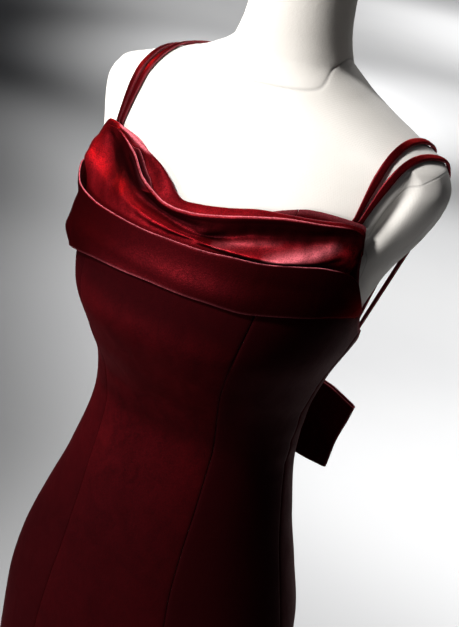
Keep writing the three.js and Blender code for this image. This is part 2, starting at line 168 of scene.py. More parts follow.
print("a reader half way between two rows:", round(float(reader((0, 1, 2), (0, 4, 5))(0.5)), 2))

# %% [markdown]
# ## The body under the dress, and the dress round it
#
# Level cuts through a torso are close to ellipses that are a little squared off, so each row
# gives a half width, a depth in front and behind, and how square each half is. Fullness is how
# far the dress stands away from the form there, as it does under and over the bust. The skirt
# has rows of its own below the hip, with the depth of its flutes: the soft waves that a
# flared skirt falls into.
#
# "Turn" is the angle round the body: 0 at the centre front, 90 at the wearer's left side,
# 180 at the centre back, and negative on the wearer's right. "Out" is a distance off the
# surface. Every piece of cloth below is a list of turns, heights and outs.

# %% The form and the skirt as tables
WALL = 2.0  # the velvet with its backing
EASE = 1.5  # between the form and the inner face of the dress
OUTER = EASE + WALL
FLUTES = 12
HEM_Z = 14
WAIST_Z = 1060
FORM_BOTTOM_Z = 800
FORM_TOP_Z = 1515

FORM_ROWS = [  # z, half, front, back, front_power, back_power, fullness
    (FORM_BOTTOM_Z, 160, 98, 118, 2.2, 2.2, 0),
    (860, 153, 97, 124, 2.2, 2.2, 0),
    (920, 136, 95, 110, 2.2, 2.2, 0),
    (980, 118, 89, 93, 2.2, 2.2, 0),
    (WAIST_Z, 104, 82, 76, 2.2, 2.2, 0),
    (1100, 105, 95, 73, 2.2, 2.2, 1),
    (1145, 114, 124, 75, 2.3, 2.2, 2),
    (1190, 130, 143, 84, 2.4, 2.2, 3),
    (1225, 140, 136, 91, 2.4, 2.2, 2.5),
    (1265, 152, 113, 98, 2.2, 2.3, 1),
    (1310, 168, 88, 103, 2.0, 2.3, 0),
    (1350, 178, 72, 102, 1.9, 2.3, 0),
    (1372, 168, 64, 99, 1.9, 2.2, 0),
    (1386, 140, 59, 93, 1.9, 2.1, 0),
    (1399, 109, 54, 90, 1.9, 2.0, 0),
    (1413, 78, 48, 86, 1.9, 2.0, 0),
    (1432, 54, 43, 72, 2.0, 2.0, 0),
    (1465, 47, 45, 54, 2.0, 2.0, 0),
    (FORM_TOP_Z, 44, 49, 42, 2.0, 2.0, 0),
]
SKIRT_ROWS = [  # z, half, front, back, front_power, back_power, flute
    (HEM_Z, 335, 285, 345, 2.0, 2.0, 0.085),
    (90, 296, 252, 305, 2.0, 2.0, 0.078),
    (190, 243, 207, 250, 2.0, 2.0, 0.064),
    (300, 190, 164, 195, 2.0, 2.0, 0.044),
    (390, 158, 138, 158, 2.0, 2.0, 0.026),
    (470, 141, 123, 136, 2.1, 2.1, 0.010),
    (550, 138, 116, 126, 2.1, 2.1, 0.003),
    (650, 149, 110, 118, 2.2, 2.2, 0),
    (740, 160, 104, 119, 2.2, 2.2, 0),
]
SECTION = "z half front back front_power back_power flute"


def sections(rows):
    """A surface of level sections: a function of height, turn and out that gives points."""
    read = columns(SECTION, rows)

    def at(z, turn, out=0.0):
        z, turn, out = np.broadcast_arrays(*(np.asarray(v, float) for v in (z, turn, out)))
        s, c = np.sin(np.radians(turn)), np.cos(np.radians(turn))
        faces_front = c > 0
        power = 2 / np.where(faces_front, read["front_power"](z), read["back_power"](z))
        wave = 1 + read["flute"](z) * np.cos(np.radians(FLUTES * turn))
        depth = np.where(faces_front, read["front"](z), read["back"](z)) * wave + out
        return np.stack([
            (read["half"](z) * wave + out) * np.sign(s) * np.abs(s) ** power,
            np.where(faces_front, -1, 1) * depth * np.abs(c) ** power,
            z], axis=-1)

    def distance(p):
        """How far points are outside the surface, in millimetres."""
        def level_at(q):
            x, y, z = np.moveaxis(q, -1, 0)
            power = np.where(y < 0, read["front_power"](z), read["back_power"](z))
            depth = np.where(y < 0, read["front"](z), read["back"](z))
            return np.abs(x / read["half"](z)) ** power + np.abs(y / depth) ** power - 1
        slope = np.stack([level_at(p + step) - level_at(p - step) for step in np.eye(3) / 2], -1)
        steepness = np.linalg.norm(slope, axis=-1)
        return level_at(p) / steepness, slope / steepness[..., None]

    return at, distance


form_at, form_distance = sections([row[:6] + (0,) for row in FORM_ROWS])
dress_at, _ = sections(SKIRT_ROWS + [
    (z, half + OUTER + 0.3 * fullness, front + OUTER + fullness, rear + OUTER, fp, bp, 0)
    for z, half, front, rear, fp, bp, fullness in FORM_ROWS])


def girth(z):
    """The way round the dress at one height, in millimetres."""
    ring = dress_at(z, np.linspace(0, 360, 721))
    return round(np.linalg.norm(np.diff(ring, axis=0), axis=1).sum())


for place_name, z in (("bust", 1190), ("waist", WAIST_Z), ("hip", 860), ("hem", HEM_Z)):
    print("girth over the dress,", place_name, girth(z), "mm")

# %% [markdown]
# ## From a grid of points to a piece of cloth
#
# Cloth is a thin sheet with two faces and an edge. It could be modelled as a solid, but a
# surface that gets its thickness from a Solidify modifier is easier to shape and keeps the
# same thickness everywhere. So each piece starts as a grid of points on its outer face. Then
# Solidify adds the inner face, and a small Bevel rounds the cut edges, as pile rounds the
# turned edge of velvet. Both are applied, so the piece is one plain closed mesh.
#
# Two numbers are stored on each point. The first is a painted highlight: it is 1 along a fold,
# a turned edge or a ridge that faces the light, and there the colour goes on to a pale rim. The
# second is how light the cloth is painted there. Part of it is the nap's own tone, because velvet
# is darker seen into its pile than along it. The rest is painted light and shade: lighter where
# the cloth faces the light, and darker in hollows and on sides turned from it.


# %% A mesh from a grid
def plain_mesh(name, points_mm, faces, **stored):
    """A mesh object from points in millimetres, with its stored numbers, at the origin."""
    mesh = bpy.data.meshes.new(name)
    mesh.from_pydata((np.asarray(points_mm).reshape(-1, 3) * MM).tolist(), [], faces)
    for key, values in stored.items():
        attribute = mesh.attributes.new(key, "FLOAT", "POINT")
        attribute.data.foreach_set("value", np.asarray(values, np.float32).ravel())
    piece = bpy.data.objects.new(name, mesh)
    bpy.context.scene.collection.objects.link(piece)
    return piece


def grid_faces(rows, cols, closed=False):
    """Quads of a grid with cols points in each of rows rows, seen from outside."""
    across = cols if closed else cols - 1
    return [(j * cols + i, j * cols + (i + 1) % cols,
             (j + 1) * cols + (i + 1) % cols, (j + 1) * cols + i)
            for j in range(rows - 1) for i in range(across)]


print("a grid of 3 by 4 points has", len(grid_faces(3, 4)), "faces")


# %% From a sheet to cloth with two faces
CUT_EDGE_ANGLE = 62  # degrees: only the cut edges of a sheet turn more sharply


def only(piece):
    """Deselects everything and makes this piece the active one."""
    bpy.ops.object.select_all(action="DESELECT")
    piece.select_set(True)
    bpy.context.view_layer.objects.active = piece


def apply_modifiers(piece):
    """Turns what the modifiers show into the mesh itself."""
    only(piece)
    for modifier in list(piece.modifiers):
        bpy.ops.object.modifier_apply(modifier=modifier.name)


def add_wall(piece, wall_mm):
    """Gives a sheet its inner face, behind the one that it has."""
    wall = piece.modifiers.new("wall", "SOLIDIFY")
    wall.thickness = wall_mm * MM
    wall.offset = -1


def round_edges(piece, width_mm, sharper_than, segments):
    """Rounds the edges where the surface turns by more than so many degrees."""
    edges = piece.modifiers.new("edges", "BEVEL")
    edges.limit_method = "ANGLE"
    edges.angle_limit = math.radians(sharper_than)
    edges.width = width_mm * MM
    edges.segments = segments


def cloth(name, points, fold, nap, wall_mm=WALL, round_mm=0.4):
    """A cloth piece from a grid of points, rows upwards and columns to the wearer's left."""
    rows, cols = points.shape[:2]
    piece = plain_mesh(name, points, grid_faces(rows, cols),
                       fold=np.broadcast_to(fold, (rows, cols)),
                       nap=np.clip(np.broadcast_to(nap, (rows, cols)), 0, 1))
    add_wall(piece, wall_mm)
    round_edges(piece, round_mm, CUT_EDGE_ANGLE, 3)
    apply_modifiers(piece)
    bpy.ops.object.shade_smooth()
    return piece


def triangles(piece):
    return sum(len(face.vertices) - 2 for face in piece.data.polygons)


print("cloth has a wall of", WALL, "mm unless it says another")

# %% [markdown]
# ## Creases
#
# Cloth on a body is never quite smooth. It pulls where it is tight and settles where it is
# loose. A simulation could find such creases, but it is hard to steer. Here each main crease
# is listed: a line of turns and heights, how wide it is, and how far it dips, or rises if
# the number is positive. It fades towards its two ends.


# %% Lay a crease
MM_PER_DEGREE = 2.3


def crease(turn, z, line, width, rise, scale=MM_PER_DEGREE, fading=0.6):
    """How far out the cloth moves at each turn and height, for one crease along a line."""
    line = np.array(line, float) * (scale, 1)
    for _ in range(3):  # cutting the corners off three times makes the line a smooth curve
        a, b = line[:-1], line[1:]
        cut = np.stack([0.75 * a + 0.25 * b, 0.25 * a + 0.75 * b], axis=1).reshape(-1, 2)
        line = np.concatenate([line[:1], cut, line[-1:]])
    at = np.stack([turn * scale, z], axis=-1)
    lengths = np.linalg.norm(np.diff(line, axis=0), axis=1)
    total = lengths.sum()
    nearest = np.full(turn.shape, 1e9)
    along = np.zeros(turn.shape)
    before = 0.0
    for a, b, length in zip(line[:-1], line[1:], lengths):  # the nearest point of the line
        share = np.clip(((at - a) @ (b - a)) / length**2, 0, 1)
        gap = np.linalg.norm(at - (a + share[..., None] * (b - a)), axis=-1)
        closer = gap < nearest
        nearest = np.where(closer, gap, nearest)
        along = np.where(closer, (before + share * length) / total, along)
        before += length
    fade = np.clip(4 * along * (1 - along), 0, 1) ** fading
    return rise * fade * bell(nearest, width)


print("a crease 2 mm deep, at its middle:",
      round(float(crease(np.array(0.0), 10.0, [(0, 0), (0, 20)], 5, -2.0)), 2), "mm")

# %% [markdown]
# ## The seven panels
#
# The dress is cut in long panels, each in one from the top edge to the hem, with no seam at
# the waist. Princess seams run from the bust down the front. Each panel is a grid between two
# seam lines: its columns follow the seams and its rows follow the top edge, so the edge loops
# lie where the real cut lines are. Along a seam both edges roll in, which leaves the fine
# groove that a sewn seam has, and the stitches draw the cloth into tiny puckers.
#
# The creases are soft and few, because stretch velvet lies close: a little drag over the
# hips, slack above the bow and behind the arms, and longer folds where the skirt narrows
# and flares.

# %% Where the panels are cut
FRONT_SEAM = columns("z turn", [
    (HEM_Z, 33), (400, 30), (800, 25), (880, 24.6), (WAIST_Z, 33.3), (1180, 34.8),
    (1330, 28)])["turn"]
BACK_SEAM = columns("z turn", [
    (HEM_Z, 147), (400, 150), (800, 153), (900, 152), (WAIST_Z, 148), (1180, 128)])["turn"]
TOP_EDGE = columns("turn z", [
    (0, 1286), (8, 1291), (19, 1310), (26, 1319), (32, 1324), (38, 1325), (50.8, 1323),
    (55, 1306), (59, 1289), (65, 1272), (73, 1255), (82, 1233), (90, 1211), (98, 1194),
    (112, 1180), (127, 1169), (150, 1136), (165, 1116), (180, 1108)])["z"]


def top_edge(turn):
    """The height of the neckline, the same on both sides."""
    return TOP_EDGE(np.abs(wrapped(turn)))


def upright(turn):
    """A seam that runs straight up at one turn."""
    return lambda z: turn + 0 * z


# The last number is partly the nap's own tone and partly painted shade. The wearer's left front,
# turned from the key light, is darkest, and the wearer's right front is held darker than the
# centre.
PANELS = {  # name: from seam, to seam, how light its nap and its painted shade look
    "panel_centre_front": (lambda z: -FRONT_SEAM(z), FRONT_SEAM, 0.16),
    "panel_side_front_left": (FRONT_SEAM, upright(90), 0.03),
    "panel_side_front_right": (upright(-90), lambda z: -FRONT_SEAM(z), 0.10),
    "panel_side_back_left": (upright(90), BACK_SEAM, 0.18),
    "panel_side_back_right": (lambda z: 360 - BACK_SEAM(z), upright(270), 0.22),
    "panel_centre_back_left": (BACK_SEAM, upright(180), 0.26),
    "panel_centre_back_right": (upright(180), lambda z: 360 - BACK_SEAM(z), 0.26),
}
print("panels:", len(PANELS), " highest point of the neckline:", TOP_EDGE(38.0), "mm")

# %% The creases of the dress
CREASES = [  # line of (turn, z), width, rise: a trough if the rise is negative
    ([(66, 1122), (84, 1106), (104, 1102)], 7, -0.9),
    ([(72, 1084), (92, 1074), (112, 1078)], 6, -1.1),
    ([(70, 1052), (88, 1048), (106, 1054)], 8, -0.8),
    ([(-64, 1118), (-84, 1104), (-102, 1100)], 7, -0.8),
    ([(-70, 1080), (-90, 1071), (-114, 1074)], 6, -1.0),
    ([(-74, 1040), (-92, 1038), (-108, 1046)], 7, -0.7),
    ([(8, 1176), (14, 1130), (12, 1090)], 11, -0.5),
    ([(-12, 1170), (-17, 1120), (-15, 1084)], 12, -0.5),
    ([(48, 1180), (44, 1140), (42, 1104)], 9, -0.6),
    ([(-50, 1178), (-46, 1138), (-43, 1100)], 9, -0.6),
    ([(142, 1112), (164, 1096), (180, 1093), (196, 1097), (216, 1110)], 5, -1.2),
    ([(136, 1140), (152, 1118), (166, 1102)], 6, -0.9),
    ([(224, 1142), (208, 1121), (194, 1104)], 6, -0.9),
    ([(120, 1030), (142, 1012), (170, 1006)], 8, -0.9),
    ([(238, 1024), (214, 1010), (192, 1004)], 8, -0.8),
    ([(30, 905), (62, 880), (96, 888)], 16, -0.6),
    ([(-28, 898), (-58, 872), (-92, 884)], 17, -0.6),
    ([(150, 806), (178, 794), (208, 808)], 12, -1.4),
    ([(156, 782), (180, 776), (204, 786)], 9, -0.8),
    ([(20, 742), (58, 640), (104, 590)], 14, -1.3),
    ([(-16, 720), (-54, 628), (-98, 576)], 15, -1.2),
    ([(128, 700), (104, 600), (84, 520)], 13, -1.3),
    ([(232, 690), (256, 590), (276, 512)], 14, -1.2),
    ([(-8, 620), (4, 520), (-4, 430)], 12, -1.2),
    ([(44, 600), (38, 500), (46, 400)], 10, -1.4),
    ([(-46, 590), (-40, 480), (-50, 392)], 10, -1.3),
    ([(160, 640), (168, 520), (158, 420)], 12, -1.4),
    ([(204, 650), (194, 530), (206, 420)], 12, -1.3),
]
print("creases:", len(CREASES), " the deepest:", min(rise for _, _, rise in CREASES), "mm")


# %% How the dress leaves its smooth sections
NECK_STITCH_DEPTH = 6.5  # below the neckline
HEM_STITCH_HEIGHT = 30  # above the hem
PUCKERS = ((1.0, 8.3), (0.7, 13.1), (0.5, 31))  # share, and length in millimetres, of three waves


def skirt_drift(turn, z):
    """Flutes are not all alike: some fall deeper and some lean."""
    flare = smooth_step(-z, -430, -60)
    waves = (2.6 * np.sin(np.radians(5 * turn + 40)) + 2.2 * np.sin(np.radians(7 * turn - 75))
             + 1.6 * np.sin(np.radians(17 * turn + 20 + 0.10 * z)))
    return flare * waves


def dress_relief(turn, z):
    """The drift of the flutes, the creases, and a broad unevenness below the bust."""
    moved = skirt_drift(turn, z)
    for line, width, rise in CREASES:
        middle = np.mean([t for t, _ in line])
        moved += crease(middle + wrapped(turn - middle), z, line, width, rise)
    broad = 0.35 * np.sin(np.radians(3.1 * wrapped(turn)) + z / 61) * np.sin(z / 83 + 0.4)
    return moved + broad * smooth_step(-z, -1230, -1120)


def seam_relief(gap, z, seam_turn):
    """The groove of a seam and its puckers, gap millimetres from the edge of a panel."""
    pressed_flat = -40 < seam_turn < 0  # the princess seam on the wearer's right
    wave = sum(share * np.sin(2 * np.pi * z / length + k * seam_turn)
               for k, (share, length) in enumerate(PUCKERS, start=1))
    groove = -0.7 * bell(gap, 1.2) - 0.25 * bell(gap, 4.5)
    return (0.45 if pressed_flat else 1.0) * (groove + 0.09 * wave * bell(gap - 3, 4.5))


def edge_relief(below_edge, above_hem):
    """The rolled neckline with its row of stitches, and the hem's stitches and turned-up cloth."""
    neckline = 0.45 * bell(below_edge, 2.2) - 0.30 * bell(below_edge - NECK_STITCH_DEPTH, 1.0)
    hem = -0.35 * bell(above_hem - HEM_STITCH_HEIGHT, 1.3) + 0.25 * bell(above_hem - 20, 9)
    return neckline + hem


print("relief half way up the centre front:",
      round(float(dress_relief(np.array(0.0), np.array(600.0))), 2), "mm")

# %% The cloth between the seams
PANEL_ROWS = 216
COLUMN_MM = 3.6  # about how far apart a panel's columns are
EDGE_CROWD = 0.7  # below 1, columns crowd towards the seams
RISE_CROWD = 0.85  # below 1, rows crowd towards the neckline
SIZING_Z = 900  # the height, at the hip, where a panel's columns are counted
# Painted light and shade up the front, as a share of the nap's tone: lighter under the bust and at
# the waist, which face down and away from the key light, and darker on the hips, which face up
# into it, and above the bust, under the band and the cowl.
PAINTED_LIGHT_BY_HEIGHT = columns("z share", [
    (HEM_Z, 0.5), (700, 0.35), (836, 0.27), (945, 0.32), (1008, 0.55), (1072, 1.0), (1114, 1.5),
    (1165, 1.5), (1190, 0.7), (1212, 0.15), (1330, 0.15)])["share"]


def panel_grid(seam_a, seam_b):
    """The height and turn of each point of a panel, and the neckline's height over it."""
    edges = [dress_at(SIZING_Z, seam(SIZING_Z)) for seam in (seam_a, seam_b)]
    width = np.linalg.norm(edges[0] - edges[1])
    cols = int(26 + width / COLUMN_MM)
    share = np.linspace(-1, 1, cols)
    share = (np.sign(share) * np.abs(share) ** EDGE_CROWD + 1) / 2
    rise = np.linspace(0, 1, PANEL_ROWS) ** RISE_CROWD
    top = np.full(cols, float(WAIST_Z))
    for _ in range(12):  # a column leans with its seams, so its top is found step by step
        top = top_edge(mix(seam_a(top), seam_b(top), share))
    z = mix(HEM_Z, top[None, :], rise[:, None])
    return z, mix(seam_a(z), seam_b(z), share[None, :]), top[None, :]


def make_panel(name, seam_a, seam_b, nap):
    z, turn, top = panel_grid(seam_a, seam_b)
    step = np.linalg.norm(np.diff(dress_at(z, turn), axis=1), axis=2)
    from_a = np.concatenate([np.zeros((PANEL_ROWS, 1)), np.cumsum(step, axis=1)], axis=1)
    below_edge, above_hem = top - z, z - HEM_Z
    seams = (seam_relief(from_a, z, seam_a(float(SIZING_Z)))
             + seam_relief(from_a[:, -1:] - from_a, z, seam_b(float(SIZING_Z))))
    out = (dress_relief(turn, z) * smooth_step(below_edge, 0, 22)
           + seams * smooth_step(below_edge, 1, 9) + edge_relief(below_edge, above_hem))
    facing = wrapped(turn)
    # Painted highlight along the rolled neckline, weaker on the wearer's left front, which is
    # turned from the key light, and a faint one along the hem.
    lit_edge = 0.75 - 0.60 * smooth_step(facing, -2, 14) * smooth_step(-facing, -110, -80)
    fold = np.maximum(lit_edge * bell(below_edge, 0.9), 0.22 * bell(above_hem, 1.0))
    # Painted light and shade: the front takes the painted light by height, and the 24 mm under the
    # neckline are painted lighter.
    nap = nap * mix(0.8, PAINTED_LIGHT_BY_HEIGHT(z), smooth_step(-np.abs(facing), -112, -84))
    nap = nap + 0.25 * smooth_step(-below_edge, -24, -6)
    return cloth(name, dress_at(z, turn, out), fold, nap)


panels = {}
for name, (seam_a, seam_b, nap) in PANELS.items():
    panels[name] = make_panel("velvet_" + name, seam_a, seam_b, nap)
    print(name, triangles(panels[name]), "triangles")

# %% [markdown]
# ## The cowl
#
# A cowl is a piece cut wider than the neckline it is sewn to, so the extra cloth falls in long
# folds across the bust. Each station round the front is a profile: from the foot hidden behind
# the band, over the lower swell, into a trough, up to the main roll, down behind it and up
# again to the top edge, where the cloth turns in. The same profile could be swept along a
# path, but then it could not change on the way. With a table of stations every fold can start,
# swell and die where it should.
#
# The smaller folds are creases laid over that: the long diagonal trough on the wearer's right,
# the narrow ridge that dies in the middle, and the slit between two folds under the right
# strap.

# %% The cowl's stations
LAY_GAP = 1.0
COWL_STATIONS = "turn edge_z roll_z roll_out trough_z trough_out swell_z swell_out rim_z foot_z"
COWL_ROWS = [
    (-68, 1279, 1276, 4.6, 1272, 5.2, 1267, 5.6, 1262, 1254),
    (-62, 1293, 1289, 5.0, 1284, 6.8, 1277, 8.6, 1268, 1254),
    (-55, 1310, 1305, 5.4, 1298, 9.0, 1285, 12.5, 1273, 1253),
    (-48, 1326, 1320, 5.6, 1308, 8.5, 1288, 14.0, 1269, 1252),
    (-44, 1327, 1322, 6.0, 1308, 6.5, 1286, 13.0, 1268, 1252),
    (-38, 1326, 1324, 8.5, 1305, 5.6, 1284, 10.5, 1267, 1251),
    (-27, 1321, 1317, 12.0, 1296, 6.5, 1281, 10.0, 1267, 1251),
    (-18, 1315, 1302, 14.0, 1285, 5.5, 1277, 10.0, 1268, 1252),
    (-12, 1307, 1296, 14.2, 1282, 5.2, 1276, 9.7, 1268, 1252),
    (-8, 1300, 1293, 14.4, 1281, 5.1, 1275, 9.6, 1269, 1253),
    (-4.5, 1297, 1292.5, 14.5, 1280, 5.0, 1275, 9.5, 1269, 1253),
    (0, 1299, 1294, 14.5, 1279, 5.0, 1274, 9.5, 1270, 1254),
    (9, 1305, 1301, 14.5, 1281, 5.0, 1276, 11.5, 1272.5, 1257),
    (18, 1312.5, 1309.5, 14.5, 1291, 4.8, 1278.0, 12.5, 1274.5, 1259),
    (27, 1316, 1316, 14.0, 1298, 4.5, 1280.5, 13.0, 1277, 1261),
    (36, 1319, 1319, 13.0, 1304, 4.5, 1285.5, 13.0, 1282, 1267),
    (44, 1322, 1321, 10.5, 1311, 5.0, 1290.5, 11.5, 1286, 1270),
    (50, 1321, 1318, 6.0, 1311, 5.2, 1295, 8.5, 1286, 1272),
    (56, 1300, 1298, 4.5, 1295, 5.0, 1290, 6.0, 1282, 1273),
]
# How deep the cloth dips behind the main roll, how sharp the roll is, and how open the slit
# between the roll and the fold behind it is
ROLL_ROWS = [
    (-68, 0.0, 0.1, 0), (-44, 0.0, 0.1, 0), (-36, 0.2, 0.25, 0), (-31, 1.1, 0.8, 0.1),
    (-27, 3.5, 1.0, 1), (-18, 5.0, 1.0, 1), (-14, 5.0, 1.0, 0.4), (-11, 4.5, 1.0, 0),
    (6, 4.0, 1.0, 0), (18, 3.5, 1.0, 0), (28, 1.5, 0.9, 0), (44, 0.5, 0.6, 0), (56, 0.0, 0.2, 0),
]
NEAR_RIDGE = [(9, 1277), (16, 1284), (22, 1290), (29, 1294)]
FAR_RIDGE = [(25, 1277), (31, 1284), (37, 1291), (42, 1298), (46, 1306)]
COWL_CREASES = [  # line of (turn, z), width, rise
    ([(-46, 1328), (-42, 1312), (-37, 1300), (-32, 1290), (-26, 1276)], 6.5, -5.0),
    ([(-54, 1308), (-50, 1292), (-45, 1276)], 9, 1.8),
    ([(-32, 1291), (-25, 1284.5), (-17, 1280), (-9, 1277.5), (-2, 1276), (5, 1278), (10, 1284)],
     4.8, 1.5),
    ([(-26, 1300), (-19, 1291), (-12, 1285), (-2, 1283), (8, 1285)], 4.5, -1.6),
    ([(-38, 1318), (-33, 1304), (-28, 1294), (-21, 1287)], 5.0, -2.4),
    (NEAR_RIDGE, 3.4, 1.3),
    (FAR_RIDGE, 3.8, 2.4),
    ([(33, 1271), (39, 1277), (44, 1285), (50, 1296)], 4.2, -4.5),
    ([(-3, 1271), (3, 1274), (8, 1279.5), (13, 1288)], 3.2, -3.0),
    ([(20, 1292), (32, 1297), (44, 1303)], 4.0, -0.8),
]
read_cowl = columns(COWL_STATIONS, COWL_ROWS)
read_roll = columns("turn dip sharp slit", ROLL_ROWS)
print("cowl stations:", len(COWL_ROWS), " creases:", len(COWL_CREASES))

# %% The cowl's profile at one station
COWL_WALL = 1.2
COWL_SEAT = LAY_GAP + COWL_WALL  # the outer face of cloth that lies on the panels


def cowl_profile(turn):
    """Readers for z and out along the profile: the foot is 0, the swell 1, the trough 2, the
    main roll 3 and the top edge 4."""
    edge_z, roll_z, roll_out, trough_z, trough_out, swell_z, swell_out, rim_z, foot_z = (
        float(curve(turn)) for curve in read_cowl.values())
    dip, sharp, slit = (float(curve(turn)) for curve in read_roll.values())
    sag = 0.55 + 0.20 * smooth_step(turn, 6, 16)
    behind_z = mix(roll_z - 0.9 * sharp * min(dip, 1), roll_z - 9.0, slit)
    behind_out = roll_out - 2.4 * sharp
    hollow_z = min(roll_z, edge_z) - dip
    hollow_out = mix(COWL_SEAT + 1.2, roll_out, 0.45)
    knots = [  # place along the profile, z, out
        (0.0, foot_z, COWL_SEAT),
        (0.6, rim_z, min(0.6 * swell_out, 8.0)),
        (1.0, swell_z, swell_out),
        (1.5, mix(swell_z, trough_z, 0.5), mix(swell_out, trough_out, sag)),
        (2.0, trough_z, trough_out),
        (2.6, mix(trough_z, roll_z, 0.62), mix(trough_out, roll_out, 0.66)),
        (2.9, roll_z - 1.6 * sharp, roll_out - 0.1),
        (3.0, roll_z, roll_out - 1.2 * sharp),
        (3.12, behind_z, behind_out - 0.3 * slit),
        (3.26, mix(mix(behind_z, hollow_z, 0.35), roll_z + 0.5, slit),
         mix(mix(behind_out, hollow_out, 0.35), roll_out - 7.0, slit)),
        (3.36, mix(mix(behind_z, hollow_z, 0.7), roll_z - 0.8, slit),
         mix(mix(behind_out, hollow_out, 0.7), roll_out - 8.4, slit)),
        (3.55, mix(hollow_z, mix(roll_z, edge_z, 0.35) - 0.8, slit),
         mix(hollow_out, COWL_SEAT + 2.2, slit)),
        (3.85, edge_z - 1.4, COWL_SEAT + 1.8),
        (4.0, edge_z, COWL_SEAT + 0.6),
        (4.15, edge_z - 0.9, COWL_SEAT - 0.6),
        (4.5, edge_z - 5.0, COWL_SEAT - 1.0),
    ]
    places, z, out = zip(*knots)
    return reader(places, z), reader(places, out)


print("the top edge in the middle:", round(float(cowl_profile(0)[0](4.0))), "mm above the floor")

# %% Drape the cowl
COWL_COLS = 264


def cowl_looks(turn, z, s, relief):
    """Painted light for each point at s along the profile. The painted highlight runs along the
    main roll, the top edge, the lips of the slit and two streaks over the lower swell, and fades
    at the far end. The nap's tone is painted lighter on the swells of the lit sides and on crease
    ridges. It is painted darker, as shade, in the trough under the roll, in crease troughs, in the
    slit and behind the roll.
    """
    sharp, slit = read_roll["sharp"](turn), read_roll["slit"](turn)
    wide = smooth_step(turn, -43, -38) * smooth_step(-turn, 20, 27)
    far_end = smooth_step(turn, 40, 47)
    top_edge_lit = mix(0.45, 0.9, wide) * bell(s - 4.0, mix(0.03, 0.16, wide))
    fold = np.maximum(bell(s - 2.99, 0.035) * sharp, top_edge_lit)
    fold = np.maximum(fold, 1.1 * bell(s - 3.275, 0.019) * slit) * (1 - 0.85 * far_end)
    swollen = smooth_step(s, 0.4, 0.9) * smooth_step(-s, -1.9, -1.2)
    streak = crease(turn, z, NEAR_RIDGE, 3.0, 0.3) + crease(turn, z, FAR_RIDGE, 4.4, 0.75)
    fold = np.maximum(fold, swollen * streak)
    hollow = smooth_step(s, 1.3, 1.9) * smooth_step(-s, -2.97, -2.85) * smooth_step(turn, -41, -33)
    lit_sides = smooth_step(turn, 8, 22) + smooth_step(-turn, 33, 42)
    in_slit = slit * smooth_step(s, 2.99, 3.03) * smooth_step(-s, -3.27, -3.24)
    behind_roll = (smooth_step(s, 3.29, 3.40) * smooth_step(-turn, -4, 8)
                   * smooth_step(turn, -42, -34))
    # Painted light and shade: lighter on the swells of the lit sides and on crease ridges, darker
    # in the trough under the roll, in crease troughs, in the slit and behind the roll.
    nap = 0.40 + 0.45 * swollen * lit_sides - 0.32 * hollow + 0.07 * relief
    return fold, nap * (1 - in_slit) * (1 - 0.5 * behind_roll)


def drape_cowl():
    turns = np.linspace(COWL_ROWS[0][0], COWL_ROWS[-1][0], COWL_COLS)
    s = spaced((0, 60), (2.6, 52), (3.4, 16), (3.9, 19), end=4.5)
    z, out = np.stack([(read_z(s), read_out(s)) for read_z, read_out in map(cowl_profile, turns)],
                      axis=-1)
    turn, s = np.broadcast_to(turns, z.shape), s[:, None]
    relief = sum(crease(turn, z, line, width, rise, fading=1.0)
                 for line, width, rise in COWL_CREASES)
    fine = 0.25 * np.sin(turn * 0.9 + z / 5) * np.sin(turn * 0.37 - z / 9 + 1)
    below_roll = smooth_step(-s, -2.8, -2.3) * smooth_step(s, 0.5, 0.9)
    out = out + (relief + fine) * below_roll
    from_middle = np.abs(turn - mix(turns[0], turns[-1], 0.5)) / (turns[-1] - turns[0]) * 2
    out = mix(out, np.minimum(out, COWL_SEAT + 1.0), smooth_step(from_middle, 0.95, 1.0))
    lift = out - COWL_SEAT  # a crease may not press the cloth into the panels below it
    out = np.where(s < 3.8, COWL_SEAT + (lift + np.sqrt(lift**2 + 1.5)) / 2, out)
    fold, nap = cowl_looks(turn, z, s, relief)
    return cloth("velvet_cowl", dress_at(z, turn, out), fold, nap, wall_mm=COWL_WALL)


cowl = drape_cowl()
print("cowl:", triangles(cowl), "triangles")

# %% [markdown]
# ## The band
#
# Under the cowl a strip of velvet, folded double, wraps the bust and is caught at the sides.
# Its fold is at the top, where it stands off the cowl and leaves a small pocket on the
# wearer's right. It is one grid from the lower edge up to the fold and a little way down
# behind it, because the turned fold is what shows.

# %% The band's stations
BAND_STATIONS = "turn top_z top_out bottom_z bottom_out"
BAND_ROWS = [
    (-86, 1220, 3.4, 1203, 3.2), (-79, 1248, 4.6, 1205, 3.4), (-73, 1267, 7.5, 1206, 3.6),
    (-68, 1276, 11, 1207, 4.0), (-63, 1276, 13, 1208, 4.8), (-58, 1271, 14, 1210, 6.2),
    (-49, 1266, 13.5, 1214, 7.4),
    (-36, 1265, 12, 1221, 6.5), (-22, 1266, 12, 1227, 5), (-9, 1267, 12, 1230, 4.5),
    (0, 1269, 12, 1232, 4.5), (9, 1271, 12, 1233, 4.5), (17, 1274, 12, 1234, 4.5),
    (25, 1276, 12, 1234, 4.5), (37, 1282, 12, 1237, 4.5), (45, 1285, 11.5, 1239, 4.5),
    (52, 1284, 10, 1240, 4.5), (60, 1277, 8, 1241, 4), (68, 1262, 6, 1240, 3.5),
    (77, 1245, 3.2, 1238, 3.2),
]
